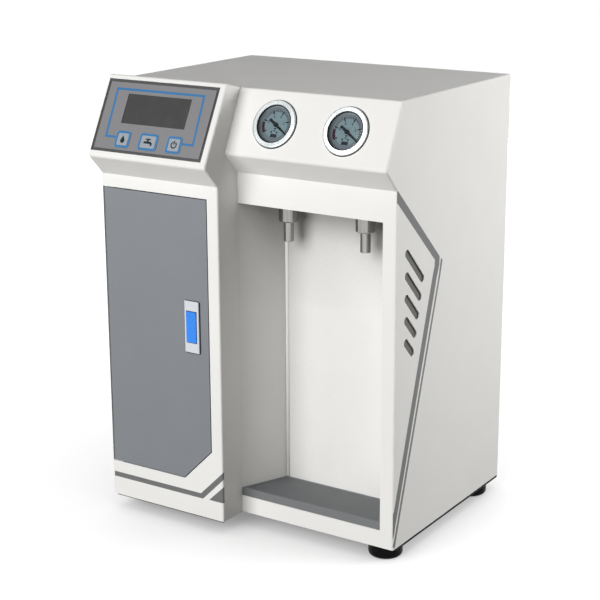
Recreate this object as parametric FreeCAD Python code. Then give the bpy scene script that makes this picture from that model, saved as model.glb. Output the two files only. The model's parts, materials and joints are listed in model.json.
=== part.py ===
import FreeCAD, Part

import math
import os

from FreeCAD import Placement, Rotation, Vector

# Bench-top ultrapure water system. Millimetres. The sizes below are in the cabinet frame: x to the
# right from the left side, y back from the bay's front, z up from the cabinet's underside. The
# finished nodes are moved so that the origin is the bottom centre of the whole part.

# ---- Cabinet -------------------------------------------------------------------------------------
body_width = 412.5
body_depth = 297.0
body_height = 560.0
sheet = 1.5
corner_radius = 2.5
corner_return = 4.0
pan_flange = 20.0

# ---- Column on the left, with the control housing above it ---------------------------------------
column_width = 184.0
column_proud = 42.5
housing_lip_out = 26.0
housing_undercut_rise = 26.8
housing_face_rise = 97.6
housing_crest_back = 24.5
housing_crest_above = 7.7

# ---- Gauge hood and dispensing bay on the right --------------------------------------------------
hood_lip_out = 26.5
hood_undercut_rise = 27.1
hood_face_rise = 77.4
hood_crest_back = 10.4
lip_radius = 5.0
crest_radius = 3.0
top_rail = 39.0
bottom_rail = 23.0
right_frame = 19.0
bay_depth = 65.0
bay_splay = 28.0

# ---- Drip tray -----------------------------------------------------------------------------------
tray_height = 10.7
tray_clearance = 0.4
tray_floor = 2.0
tray_rim = 3.0
mat_thickness = 2.4
mat_below_rim = 0.6
mat_clearance = 0.3

# ---- Door ----------------------------------------------------------------------------------------
door_gap = 1.3
door_left_gap = 0.8
door_right_margin = 18.0
door_bottom = 49.8
door_top_margin = 18.0
door_corner_cut = 44.0
door_flange = 10.0
hem_radius = 3.0
hinge_pin_radius = 1.5
hinge_running_gap = 0.06
hinge_pin_reach = 12.0
bracket_thickness = 3.0
bracket_gap = 0.5
bracket_reach = 12.0
magnet_width = 12.0
magnet_height = 40.0
magnet_depth = 11.0
magnet_gap = 0.3
magnet_above_door_bottom = 288.0

# ---- Latch on the door ---------------------------------------------------------------------------
latch_left_from_edge = 36.7
latch_width = 22.8
latch_height = 68.5
latch_bottom_above_door = 174.2
latch_proud = 1.8
latch_cup_depth = 12.0
latch_cup_wall = 1.5
paddle_width = 16.0
paddle_height = 40.6
paddle_bottom_above_plate = 14.0
paddle_thickness = 3.0
paddle_proud = 1.5
paddle_side_gap = 0.4
paddle_end_gap = 1.0
paddle_pivot_below_top = 12.6
paddle_boss_radius = 2.5
paddle_pin_radius = 1.0
paddle_running_gap = 0.05
latch_plate_round = 1.2
paddle_round = 1.0

# ---- Control panel, on the housing's sloped face -------------------------------------------------
panel_left = 2.6
panel_width = 173.2
panel_bottom = 7.6
panel_height = 96.4
groove_width = 4.0
groove_depth = 1.4
overlay_below_face = 0.4
overlay_thickness = 2.2
carrier_thickness = 2.4
carrier_ledge = 2.0
window_left = 36.4
window_bottom = 38.9
window_width = 99.5
window_height = 39.2
window_thickness = 1.6
key_widths = {"left": 23.0, "middle": 29.0, "right": 23.0}
key_centres = {"left": 46.4, "middle": 86.7, "right": 126.8}
key_bottom = 6.9
key_height = 22.4
key_corner = 3.4
key_proud = 0.4
key_side_gap = 0.25
key_flange = 1.0
key_flange_thickness = 1.0
key_flange_gap = 0.1
key_stroke = 0.8
carrier_key_gap = 0.4
pillar_radius = 3.0
pillar_height = 4.0
pillar_inset = 12.0
board_thickness = 1.6
board_below_pillars = 4.0
display_module_margin = 2.0
switch_size = 7.0
switch_gap = 0.1

# ---- Pressure gauges, on the hood's sloped face --------------------------------------------------
gauge_left_share = 0.2735
gauge_right_share = 0.7133
gauge_up_face = 43.2
gauge_flange_radius = 30.0
gauge_flange_height = 3.0
gauge_flange_round = 1.4
gauge_case_radius = 26.0
gauge_case_wall = 2.0
gauge_case_depth = 28.0
gauge_hole_clearance = 0.3
gauge_stem_radius = 5.5
gauge_stem_length = 13.0
gauge_stem_bore = 2.0
lens_radius = 24.2
lens_thickness = 1.5
lens_below_flange = 1.0
dial_ledge = 1.2
dial_thickness = 0.8
dial_below_lens = 2.8
dial_hole_radius = 2.5
shaft_radius = 1.2
shaft_running_gap = 0.05
shaft_length = 12.0
shaft_boss_radius = 4.0
shaft_boss_below_dial = 1.5
pointer_above_dial = 0.8
pointer_thickness = 0.6
pointer_length = 20.0
pointer_tail = 11.5
pointer_root_width = 3.2
pointer_tip_width = 1.6
pointer_hub_radius = 2.8
pointer_rest_angle = -33.0

# ---- Dispensing nozzles and their valves ---------------------------------------------------------
nozzle_from_bay_left = 49.75
nozzle_from_bay_right = 47.35
nozzle_back = 40.0
collar_radius = 12.5
collar_length = 25.0
collar_chamfer = 1.5
spout_radius = 6.5
spout_bore_radius = 4.0
spout_length = 25.6
spout_chamfer = 0.6
spout_above_ceiling = 22.0
spout_hole_clearance = 0.2
valve_width = 30.0
valve_height = 18.0
valve_bore_radius = 3.0
coil_radius = 12.5
coil_height = 28.0
nipple_radius = 4.5
nipple_length = 8.0

# ---- Right side vents ----------------------------------------------------------------------------
vent_count = 5
vent_start_back = 25.8
vent_top = 375.6
vent_pitch = 27.9
vent_length = 54.0
vent_length_step = 8.0
vent_slope = 45.4
vent_width = 10.2

# ---- Feet ----------------------------------------------------------------------------------------
foot_radius = 22.0
foot_height = 19.5
foot_round = 5.0
foot_recess_radius = 6.5
foot_recess_depth = 9.0
foot_inset_x = 25.5
foot_inset_front = 26.5
foot_inset_back = 34.0
foot_screw_radius = 2.5
foot_screw_head_radius = 5.0
foot_screw_head = 3.0
foot_screw_above_floor = 5.0

# ---- Water treatment inside ----------------------------------------------------------------------
bulkhead_front = 80.0
bulkhead_sheet = 2.0
bulkhead_top = 436.0
bulkhead_foot = 22.0
vessel_row_back = 122.0
vessel_bottom = 34.0
vessel_body_height = 300.0
cap_height = 34.0
cap_overhang = 2.5
nipple_offset = 12.0
prefilter_radius = 28.0
prefilter_centres = {"left": 48.0, "right": 128.0}
membrane_radius = 34.0
resin_radius = 30.0
uv_radius = 25.0
clip_band = 1.5
clip_width = 14.0
clip_block = 24.0
clip_mouth = 0.7
clip_low_level = 70.0
clip_high_level = 240.0
gap_to_bulkhead = 4.0
gauge_tap_back = 14.0
tube_radius = 3.0
tube_bend = 12.0
tube_rise = 26.0

# ---- Pump, power and rear fittings ---------------------------------------------------------------
pump_back = 200.0
pump_axis_height = 44.0
pump_head_radius = 34.0
pump_head_length = 34.0
pump_head_round = 4.0
motor_radius = 29.0
motor_length = 78.0
motor_round = 3.0
cradle_thickness = 3.0
cradle_width = 16.0
supply_length = 150.0
supply_depth = 90.0
supply_height = 42.0
supply_left = 30.0
supply_back_gap = 18.0
supply_round = 1.5
control_board_length = 120.0
control_board_height = 80.0
control_board_bottom = 450.0
control_board_front = 110.0
control_board_pillar = 6.0
capacitor_count = 3
capacitor_width = 18.0
capacitor_pitch = 24.0
capacitor_height = 16.0
capacitor_from_edge = 18.0
capacitor_above_edge = 12.0
processor_size = 20.0
processor_height = 2.5
processor_from_edge = 40.0
processor_above_edge = 45.0
terminal_end_gap = 20.0
terminal_height = 11.0
terminal_depth = 10.0
terminal_below_edge = 1.0
port_radius = 9.0
port_flange_radius = 12.0
port_flange = 4.0
port_out = 20.0
port_in = 12.0
port_bore_radius = 3.2
port_bore_depth = 16.0
reject_height = 70.0
entry_left = 70.0
entry_bottom = 150.0
entry_width = 60.0
entry_height = 48.0
entry_flange = 3.0
entry_depth = 26.0
entry_wall = 2.0
entry_lip = 3.0
entry_fitting_inset = 2.0
socket_width = 24.0
socket_height = 16.0
socket_depth = 17.0
contact_width = 2.0
contact_tall = 4.0
contact_length = 14.0
contact_below_middle = 1.0
contact_above_middle = 2.0
contact_pitch = 7.0
rocker_width = 14.0
rocker_height = 22.0
rocker_gap = 0.4
rocker_angle = 8.0
rocker_radius = 40.0
rocker_pin_radius = 1.5
rocker_running_gap = 0.05
rocker_end_gap = 0.6
rocker_depth = 8.0
rocker_proud = 4.0
rocker_pivot_depth = 2.0
louvre_count = 8
louvre_length = 90.0
louvre_height = 4.0
louvre_pitch = 12.0
louvre_bottom = 330.0
screw_radius = 1.8
screw_head_radius = 3.6
screw_head = 2.2
screw_length = 8.0
screw_inset = 12.0


def box(x, y, z):
    """Box from three (low, high) pairs."""
    return Part.makeBox(x[1] - x[0], y[1] - y[0], z[1] - z[0], Vector(x[0], y[0], z[0]))


def face_of(points):
    return Part.Face(Part.makePolygon(points + [points[0]]))


def prism_x(points, low, high):
    """Extrude a (y, z) outline along x."""
    return face_of([Vector(low, y, z) for y, z in points]).extrude(Vector(high - low, 0, 0))


def prism_y(points, low, high):
    """Extrude an (x, z) outline along y."""
    return face_of([Vector(x, low, z) for x, z in points]).extrude(Vector(0, high - low, 0))


def prism_z(points, low, high):
    """Extrude an (x, y) outline along z."""
    return face_of([Vector(x, y, low) for x, y in points]).extrude(Vector(0, 0, high - low))


def rod(radius, base, along):
    """Cylinder from base, with along as both its direction and its length."""
    return Part.makeCylinder(radius, along.Length, base, along)


def offset_line(p, q, distance):
    """A point on, and the direction of, the line p-q moved to its right-hand side."""
    dx, dy = q[0] - p[0], q[1] - p[1]
    length = math.hypot(dx, dy)
    return (p[0] + dy / length * distance, p[1] - dx / length * distance), (dx, dy)


def crossing(first, second):
    (px, py), (ax, ay) = first
    (qx, qy), (bx, by) = second
    t = ((qx - px) * by - (qy - py) * bx) / (ax * by - ay * bx)
    return (px + ax * t, py + ay * t)


def offset_path(points, distance):
    """Move an open outline to its right-hand side, which is the inside of the cabinet."""
    lines = [offset_line(p, q, distance) for p, q in zip(points, points[1:])]
    corners = [crossing(a, b) for a, b in zip(lines, lines[1:])]
    (x, y), (dx, dy) = lines[-1]
    return [lines[0][0]] + corners + [(x + dx, y + dy)]


def inset_loop(points, distance):
    """Shrink a closed anticlockwise outline."""
    loop = points + points[:1]
    lines = [offset_line(p, q, -distance) for p, q in zip(loop, loop[1:])]
    return [crossing(a, b) for a, b in zip(lines[-1:] + lines[:-1], lines)]


def edges_where(shape, test):
    """The straight edges whose two ends both pass the test."""
    found = []
    for edge in shape.Edges:
        ends = [vertex.Point for vertex in edge.Vertexes]
        if len(ends) == 2 and all(test(p) for p in ends):
            found.append(edge)
    return found


def near(a, b):
    return abs(a - b) < 0.01


def rounded(shape, radius, test):
    return shape.makeFillet(radius, edges_where(shape, test))


def join(shapes):
    """One solid from shapes that overlap or share faces."""
    return shapes[0].multiFuse(shapes[1:]).removeSplitter()


# ---- Places worked out from the sizes ------------------------------------------------------------
housing_foot_z = body_height + housing_crest_above - housing_face_rise - housing_undercut_rise
housing_lip_z = housing_foot_z + housing_undercut_rise
housing_crest_z = housing_lip_z + housing_face_rise
hood_lip_z = body_height - hood_face_rise
hood_foot_z = hood_lip_z - hood_undercut_rise
roof_front = hood_crest_back + corner_return
column_line = [(-column_proud, 0.0), (-column_proud, housing_foot_z),
               (-column_proud - housing_lip_out, housing_lip_z),
               (-column_proud + housing_crest_back, housing_crest_z),
               (hood_crest_back, body_height), (roof_front, body_height)]
hood_line = [(0.0, 0.0), (0.0, hood_foot_z), (-hood_lip_out, hood_lip_z),
             (hood_crest_back, body_height), (roof_front, body_height)]
bay_left = column_width
bay_right = body_width - right_frame
bay_floor_z = bottom_rail
bay_ceiling_z = hood_foot_z - top_rail
bay_plan = [(bay_left, 0.0), (bay_right, 0.0), (bay_right - bay_splay, bay_depth),
            (bay_left + bay_splay, bay_depth)]
nozzle_x = {"left": bay_left + nozzle_from_bay_left, "right": bay_right - nozzle_from_bay_right}
hood_width = body_width - column_width
gauge_centres = {"left": column_width + gauge_left_share * hood_width,
                 "right": column_width + gauge_right_share * hood_width}
door_left = sheet + door_left_gap
door_right = column_width - door_right_margin
door_top = housing_foot_z - door_top_margin
hinge_x = door_left + hem_radius
hinge_y = -column_proud + hem_radius
door_outline = [(hinge_x, door_bottom), (door_right - door_corner_cut, door_bottom),
                (door_right, door_bottom + door_corner_cut), (door_right, door_top),
                (hinge_x, door_top)]
valve_z = bay_ceiling_z + spout_above_ceiling
valve_port_z = valve_z + valve_height / 2
vessel_top = vessel_bottom + vessel_body_height + cap_height
nipple_top = vessel_top + nipple_length
resin_right_x = nozzle_x["left"] - nipple_offset
uv_x = nozzle_x["right"] - nipple_offset
membrane_x = prefilter_centres["left"]
resin_left_x = (membrane_x + resin_right_x) / 2
pump_x = gauge_centres["right"]
prefilter_back = bulkhead_front - gap_to_bulkhead - prefilter_radius


def slope_place(lip, crest):
    """Frame of a sloped face: x right, y up the face from the lip, z out of it."""
    angle = math.degrees(math.atan2(crest[1] - lip[1], crest[0] - lip[0]))
    return Placement(Vector(0, lip[0], lip[1]), Rotation(Vector(1, 0, 0), angle))


panel_place = slope_place(column_line[2], column_line[3])
gauge_place = slope_place(hood_line[2], hood_line[3])


def on(place, shape):
    moved = shape.copy()
    moved.Placement = place.multiply(shape.Placement)
    return moved


def inside_of(line, distance):
    """The cabinet's inside, a distance behind a front outline, open below."""
    inner = offset_path(line, distance)
    (y, _), top = inner[0], inner[-1][1]
    return [(y, -1.0)] + inner[1:] + [(body_depth, top), (body_depth, -1.0)]


# ---- Sheet metal ---------------------------------------------------------------------------------
def outer_front_edges(shape, line, x):
    """Edges of the filleted front outline that lie in the side plane x."""
    edges = []
    for edge in shape.Edges:
        middle = edge.valueAt((edge.FirstParameter + edge.LastParameter) / 2)
        ends = [vertex.Point for vertex in edge.Vertexes]
        in_plane = all(near(p.x, x) for p in ends + [middle])
        below = all(near(p.z, line[0][1]) for p in ends)
        behind = all(p.y > line[-1][0] + 0.5 for p in ends)
        if in_plane and not below and not behind:
            edges.append(edge)
    return edges


def front_body(line, low, high, sides):
    """Solid behind a front outline, with its lip, crest and chosen side edges rounded."""
    back = line[-1][0]
    foot = line[0][1]
    body = prism_x(line + [(back, foot)], low, high)
    lip, crest = line[2], line[3]
    body = rounded(body, lip_radius, lambda p: near(p.y, lip[0]) and near(p.z, lip[1]))
    body = rounded(body, crest_radius, lambda p: near(p.y, crest[0]) and near(p.z, crest[1]))
    for x in sides:
        edges = [e for e in outer_front_edges(body, line, x) if not is_back_edge(e, back)]
        body = body.makeFillet(corner_radius, edges)
    return body


def is_back_edge(edge, back):
    return all(near(vertex.Point.y, back) for vertex in edge.Vertexes)


def column_skin():
    """The bent sheet of column and housing: returns at the left, a full wall at the right."""
    body = front_body(column_line, 0.0, column_width, (0.0, column_width))
    inner = prism_x(inside_of(column_line, sheet), sheet, column_width - sheet)
    behind_return = prism_x(inside_of(column_line, corner_return), -1.0, sheet)
    return body.cut(inner).cut(behind_return)


def door_opening():
    points = [(sheet, door_bottom - door_gap), (door_right - door_corner_cut, door_bottom - door_gap),
              (door_right + door_gap, door_bottom + door_corner_cut), (door_right + door_gap, door_top),
              (sheet, door_top)]
    grow = door_gap * math.tan(math.radians(22.5))
    points[1] = (points[1][0] + grow, points[1][1])
    points[2] = (points[2][0], points[2][1] - grow)
    points[3] = (points[3][0], door_top + door_gap)
    points[4] = (points[4][0], door_top + door_gap)
    return prism_y(points, -column_proud - 1.0, -column_proud + corner_return)


def column_front():
    lower = box((-1.0, column_width + 1.0), (-column_proud - 1.0, 0.0), (-1.0, housing_foot_z))
    return column_skin().common(lower).cut(door_opening())


def control_housing():
    upper = box((-1.0, column_width + 1.0), (-column_proud - housing_lip_out - 1.0, roof_front),
                (housing_foot_z, housing_crest_z + 1.0))
    cut_out = box((panel_left, panel_left + panel_width),
                  (panel_bottom, panel_bottom + panel_height), (-2 * sheet, 2 * sheet))
    return column_skin().common(upper).cut(on(panel_place, cut_out))


def gauge_hood():
    """The hood, the rails and the right frame round the bay, bent from one sheet."""
    body = front_body(hood_line, column_width, body_width, (body_width,))
    inner = prism_x(inside_of(hood_line, sheet), column_width - 1.0, body_width - sheet)
    behind_return = prism_x(inside_of(hood_line, corner_return), column_width, body_width + 1.0)
    shell = body.cut(inner).cut(behind_return)
    mouth = box((bay_left - 1.0, bay_right), (-1.0, sheet + 1.0), (bay_floor_z, bay_ceiling_z))
    shell = shell.cut(mouth)
    for x in gauge_centres.values():
        hole = rod(gauge_case_radius + gauge_hole_clearance,
                   Vector(x, gauge_up_face, -3 * sheet), Vector(0, 0, 6 * sheet))
        shell = shell.cut(on(gauge_place, hole))
    return shell


def side_panel(line, low):
    outline = offset_path(line, corner_return)
    top = body_height - corner_return
    back = body_depth - corner_return
    outline = [(outline[0][0], 0.0)] + outline[1:-1] + [(back, top), (back, 0.0)]
    return prism_x(outline, low, low + sheet)


def vents():
    slots = []
    down = math.radians(vent_slope)
    for i in range(vent_count):
        length = vent_length - i * vent_length_step
        start = (vent_start_back, vent_top - i * vent_pitch)
        side = (math.sin(down) * vent_width / 2, math.cos(down) * vent_width / 2)
        end = (start[0] + math.cos(down) * length, start[1] - math.sin(down) * length)
        slot = prism_x([(start[0] - side[0], start[1] - side[1]), (end[0] - side[0], end[1] - side[1]),
                        (end[0] + side[0], end[1] + side[1]), (start[0] + side[0], start[1] + side[1])],
                       body_width - 2 * sheet, body_width + 1.0)
        ends = [rod(vent_width / 2, Vector(body_width - 2 * sheet, y, z), Vector(2 * sheet + 1.0, 0, 0))
                for y, z in (start, end)]
        slots.append(join([slot] + ends))
    return slots


def right_side_panel():
    panel = side_panel(hood_line, body_width - sheet)
    for slot in vents():
        panel = panel.cut(slot)
    return panel


def roof_body():
    """Solid of the cabinet's top and back corners, rounded outside."""
    body = box((0.0, body_width), (roof_front, body_depth), (0.0, body_height))
    return body.makeFillet(corner_radius, [
        edge for edge in body.Edges
        if all(near(v.Point.z, body_height) and not near(v.Point.y, roof_front) for v in edge.Vertexes)
        or all(near(v.Point.y, body_depth) for v in edge.Vertexes) and abs(edge.tangentAt(0).z) > 0.9
        or all(near(v.Point.z, body_height) for v in edge.Vertexes) and abs(edge.tangentAt(0).y) > 0.9])


def roof_skin():
    hollow = box((sheet, body_width - sheet), (roof_front - 1.0, body_depth - sheet),
                 (-1.0, body_height - sheet))
    return roof_body().cut(hollow)


def top_cover():
    return roof_skin().common(box((-1.0, body_width + 1.0), (0.0, body_depth + 1.0),
                                  (body_height - corner_return, body_height + 1.0)))


def rear_panel():
    panel = roof_skin().common(box((-1.0, body_width + 1.0), (body_depth - corner_return, body_depth + 1.0),
                                   (-1.0, body_height - corner_return)))
    for i in range(louvre_count):
        z = louvre_bottom + i * louvre_pitch
        left = (body_width - louvre_length) / 2
        panel = panel.cut(box((left, left + louvre_length), (body_depth - 2 * sheet, body_depth + 1.0),
                              (z, z + louvre_height)))
    for x, z in port_places().values():
        panel = panel.cut(rod(port_radius, Vector(x, body_depth - 2 * sheet, z), Vector(0, 3 * sheet, 0)))
    panel = panel.cut(box((entry_left, entry_left + entry_width),
                          (body_depth - 2 * sheet, body_depth + 1.0),
                          (entry_bottom, entry_bottom + entry_height)))
    for x, z in rear_screw_places():
        panel = panel.cut(rod(screw_radius, Vector(x, body_depth - 2 * sheet, z), Vector(0, 3 * sheet, 0)))
    return panel


def base_pan():
    plan = [(0.0, -column_proud), (column_width, -column_proud), (column_width, 0.0), (body_width, 0.0),
            (body_width, body_depth), (0.0, body_depth)]
    pan = prism_z(inset_loop(plan, sheet), 0.0, pan_flange)
    pan = pan.cut(prism_z(inset_loop(plan, 2 * sheet), sheet, pan_flange + 1.0))
    for x, y in foot_places():
        pan = pan.cut(rod(foot_screw_radius, Vector(x, y, -1.0), Vector(0, 0, sheet + 2.0)))
    for x, z in rear_screw_places():
        pan = pan.cut(rod(screw_radius, Vector(x, body_depth - 3 * sheet, z), Vector(0, 3 * sheet, 0)))
    return pan


def bay_liner():
    """Splayed walls, back, floor and ceiling of the bay."""
    left, right = bay_plan[0], bay_plan[1]
    outer = inset_loop(bay_plan, -sheet)
    front_left = crossing((outer[3], (outer[0][0] - outer[3][0], outer[0][1] - outer[3][1])),
                          ((0.0, 0.0), (1.0, 0.0)))
    front_right = crossing((outer[2], (outer[1][0] - outer[2][0], outer[1][1] - outer[2][1])),
                           ((0.0, sheet), (1.0, 0.0)))
    plan = [front_left, left, (left[0] + bay_splay * sheet / bay_depth, sheet), front_right,
            outer[2], outer[3]]
    body = prism_z(plan, bay_floor_z - sheet, bay_ceiling_z + sheet)
    hollow = [(left[0], left[1] - 1.0), (right[0], right[1] - 1.0)] + bay_plan[1:] + bay_plan[:1]
    body = body.cut(prism_z(hollow, bay_floor_z, bay_ceiling_z))
    floor_front = box((bay_left - 2 * sheet, bay_left + 2 * sheet), (-1.0, sheet),
                      (bay_floor_z - 2 * sheet, bay_floor_z))
    ceiling_front = box((bay_left - 2 * sheet, bay_left + 2 * sheet), (-1.0, sheet),
                        (bay_ceiling_z, bay_ceiling_z + 2 * sheet))
    body = body.cut(floor_front).cut(ceiling_front)
    for x in nozzle_x.values():
        body = body.cut(rod(spout_radius + spout_hole_clearance,
                            Vector(x, nozzle_back, bay_ceiling_z - 1.0), Vector(0, 0, sheet + 2.0)))
    return body


# ---- Drip tray -----------------------------------------------------------------------------------
def tray_plan(inset):
    """The bay's plan shrunk by a clearance, with its front edge level with the rail's front."""
    plan = inset_loop(bay_plan, inset)
    slope = (plan[3][0] - plan[0][0]) / (plan[3][1] - plan[0][1])
    reach = plan[0][1]
    return [(plan[0][0] - slope * reach, 0.0), (plan[1][0] + slope * reach, 0.0), plan[2], plan[3]]


def tray_base():
    return bay_floor_z + tray_clearance


def drip_tray():
    body = prism_z(tray_plan(tray_clearance), tray_base(), tray_base() + tray_height)
    pocket = inset_loop(tray_plan(tray_clearance), tray_rim)
    return body.cut(prism_z(pocket, tray_base() + tray_floor, tray_base() + tray_height + 1.0))


def tray_mat():
    plan = inset_loop(tray_plan(tray_clearance), tray_rim + mat_clearance)
    top = tray_base() + tray_height - mat_below_rim
    low = tray_base() + tray_floor
    mat = prism_z(plan, low, top)
    hollow = prism_z(inset_loop(plan, mat_thickness), low, top - mat_thickness)
    return mat.cut(hollow)


# ---- Door ----------------------------------------------------------------------------------------
def latch_left():
    return door_right - latch_left_from_edge


def latch_bottom():
    return door_bottom + latch_bottom_above_door


def latch_cup(depth, shrink):
    left = latch_left() + latch_cup_wall + shrink
    right = latch_left() + latch_width - latch_cup_wall - shrink
    low = latch_bottom() + latch_cup_wall + shrink
    high = latch_bottom() + latch_height - latch_cup_wall - shrink
    return box((left, right), (-column_proud, -column_proud + depth), (low, high))


def door_panel():
    """Sheet door with folded flanges, a rolled hem on the hinge side and one cut corner."""
    front = prism_y(door_outline, -column_proud, -column_proud + sheet)
    deep = prism_y(door_outline, -column_proud, -column_proud + door_flange)
    inset = inset_loop(door_outline, sheet)
    hollow = prism_y(inset, -column_proud + sheet, -column_proud + door_flange + 1.0)
    hinge_side = box((hinge_x - 1.0, hinge_x + 2 * hem_radius),
                     (-column_proud + sheet, -column_proud + door_flange + 1.0),
                     (door_bottom - 1.0, door_top + 1.0))
    flanges = deep.cut(hollow).cut(hinge_side)
    hem = rod(hem_radius, Vector(hinge_x, hinge_y, door_bottom), Vector(0, 0, door_top - door_bottom))
    bore = hinge_pin_radius + hinge_running_gap
    door = join([front, flanges, hem])
    door = door.cut(rod(bore, Vector(hinge_x, hinge_y, door_bottom - 1.0),
                        Vector(0, 0, door_top - door_bottom + 2.0)))
    return door.cut(latch_cup(sheet + 1.0, 0.0))


def hinge_levels():
    """Heights of the two brackets' door-side faces, and the way from the door to each bracket."""
    return ((door_bottom - bracket_gap, -1.0), (door_top + bracket_gap, 1.0))


def hinge_brackets():
    brackets = []
    for z, way in hinge_levels():
        plate_z = sorted((z, z + way * bracket_thickness))
        foot_z = sorted((z, z + way * (bracket_thickness + bracket_reach)))
        plate = box((sheet, hinge_x + bracket_reach), (-column_proud + sheet, hinge_y + bracket_reach),
                    plate_z)
        foot = box((sheet, hinge_x + bracket_reach),
                   (-column_proud + sheet, -column_proud + sheet + bracket_thickness), foot_z)
        hole = rod(hinge_pin_radius, Vector(hinge_x, hinge_y, plate_z[0] - 1.0),
                   Vector(0, 0, bracket_thickness + 2.0))
        brackets.append(join([plate, foot]).cut(hole))
    return brackets


def hinge_pins():
    pins = []
    for z, way in hinge_levels():
        start = z + way * bracket_thickness
        pins.append(rod(hinge_pin_radius, Vector(hinge_x, hinge_y, start),
                        Vector(0, 0, -way * (hinge_pin_reach + bracket_thickness))))
    return pins


def door_magnet():
    """Magnetic catch that reaches from the column's wall to behind the door's flange."""
    front = -column_proud + door_flange + magnet_gap
    low = door_bottom + magnet_above_door_bottom
    return box((door_right - magnet_width, column_width - sheet), (front, front + magnet_depth),
               (low, low + magnet_height))


# ---- Latch ---------------------------------------------------------------------------------------
def paddle_low():
    return latch_bottom() + paddle_bottom_above_plate


def paddle_left():
    return latch_left() + (latch_width - paddle_width) / 2


def pivot_z():
    return paddle_low() + paddle_height - paddle_pivot_below_top


def pivot_y():
    return -column_proud - latch_proud - paddle_proud + paddle_thickness + paddle_boss_radius / 2


def latch_plate():
    """Face plate with a cup behind it that the paddle lies in."""
    plate = box((latch_left(), latch_left() + latch_width), (-column_proud - latch_proud, -column_proud),
                (latch_bottom(), latch_bottom() + latch_height))
    plate = plate.makeFillet(latch_plate_round, [e for e in plate.Edges
                                                 if all(near(v.Point.y, -column_proud - latch_proud)
                                                        for v in e.Vertexes)])
    body = join([plate, latch_cup(latch_cup_depth, 0.0)])
    left = paddle_left() - paddle_side_gap
    pocket = box((left, left + paddle_width + 2 * paddle_side_gap),
                 (-column_proud - latch_proud - 1.0, -column_proud + latch_cup_depth - latch_cup_wall),
                 (paddle_low() - paddle_end_gap, paddle_low() + paddle_height + paddle_end_gap))
    body = body.cut(pocket)
    return body.cut(rod(paddle_pin_radius, Vector(latch_left() - 1.0, pivot_y(), pivot_z()),
                        Vector(latch_width + 2.0, 0, 0)))


def paddle_pin():
    reach = latch_cup_wall
    left = paddle_left() - paddle_side_gap - reach / 2
    length = paddle_width + 2 * paddle_side_gap + reach
    return rod(paddle_pin_radius, Vector(left, pivot_y(), pivot_z()), Vector(length, 0, 0))


def latch_paddle():
    front = -column_proud - latch_proud - paddle_proud
    plate = box((paddle_left(), paddle_left() + paddle_width), (front, front + paddle_thickness),
                (paddle_low(), paddle_low() + paddle_height))
    plate = plate.makeFillet(paddle_round, [e for e in plate.Edges
                                            if all(near(v.Point.y, front) for v in e.Vertexes)])
    boss = rod(paddle_boss_radius, Vector(paddle_left(), pivot_y(), pivot_z()),
               Vector(paddle_width, 0, 0))
    bore = rod(paddle_pin_radius + paddle_running_gap, Vector(paddle_left() - 1.0, pivot_y(), pivot_z()),
               Vector(paddle_width + 2.0, 0, 0))
    return join([plate, boss]).cut(bore)


# ---- Control panel, in the frame of the housing's face -------------------------------------------
def panel_box(x, s, n):
    """Box in the control panel's frame, measured from the panel's own lower left corner."""
    return box((panel_left + x[0], panel_left + x[1]), (panel_bottom + s[0], panel_bottom + s[1]), n)


def soft_box(x, s, n, radius):
    body = panel_box(x, s, n)
    return body.makeFillet(radius, [e for e in body.Edges if abs(e.tangentAt(0).z) > 0.9])


overlay_top = -overlay_below_face
overlay_low = overlay_top - overlay_thickness
carrier_low = overlay_low - carrier_thickness
board_top = carrier_low - pillar_height
window_span = ((window_left, window_left + window_width), (window_bottom, window_bottom + window_height))


def key_span(side, grow):
    half = key_widths[side] / 2 + grow
    return ((key_centres[side] - half, key_centres[side] + half),
            (key_bottom - grow, key_bottom + key_height + grow))


def display_bezel():
    """Carrier behind the overlay, with the dark groove round it and pillars for the board."""
    bezel = panel_box((0.0, panel_width), (0.0, panel_height), (carrier_low, -groove_depth))
    bezel = bezel.cut(panel_box((groove_width, panel_width - groove_width),
                                (groove_width, panel_height - groove_width), (overlay_low, 0.0)))
    (x0, x1), (s0, s1) = window_span
    bezel = bezel.cut(panel_box((x0 + carrier_ledge, x1 - carrier_ledge),
                                (s0 + carrier_ledge, s1 - carrier_ledge), (carrier_low, 0.0)))
    for side in key_widths:
        span = key_span(side, key_flange + carrier_key_gap)
        bezel = bezel.cut(panel_box(span[0], span[1], (carrier_low, 0.0)))
    pillars = [rod(pillar_radius, Vector(panel_left + x, panel_bottom + s, board_top),
                   Vector(0, 0, pillar_height))
               for x in (pillar_inset, panel_width - pillar_inset)
               for s in (pillar_inset, panel_height - pillar_inset)]
    return on(panel_place, join([bezel] + pillars))


def display_overlay():
    sheet_body = panel_box((groove_width, panel_width - groove_width),
                           (groove_width, panel_height - groove_width), (overlay_low, overlay_top))
    sheet_body = sheet_body.cut(panel_box(window_span[0], window_span[1], (overlay_low, 0.0)))
    for side in key_widths:
        span = key_span(side, key_side_gap)
        sheet_body = sheet_body.cut(soft_box(span[0], span[1], (overlay_low, 0.0),
                                             key_corner + key_side_gap))
    return on(panel_place, sheet_body)


def lcd_window():
    return on(panel_place, panel_box(window_span[0], window_span[1],
                                     (overlay_low, overlay_low + window_thickness)))


def display_board():
    """Circuit board with the display module and a switch under each key, as separate solids."""
    inset = pillar_inset - pillar_radius
    board = panel_box((inset, panel_width - inset), (inset - board_below_pillars, panel_height - inset),
                      (board_top - board_thickness, board_top))
    (x0, x1), (s0, s1) = window_span
    margin = display_module_margin
    solids = [board, panel_box((x0 - margin, x1 + margin), (s0 - margin, s1 + margin),
                               (board_top, carrier_low))]
    for side in key_widths:
        x, s = key_centres[side], key_bottom + key_height / 2
        half = switch_size / 2
        top = key_flange_low() - key_stroke - switch_gap
        solids.append(panel_box((x - half, x + half), (s - half, s + half), (board_top, top)))
    return [on(panel_place, solid) for solid in solids]


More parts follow.
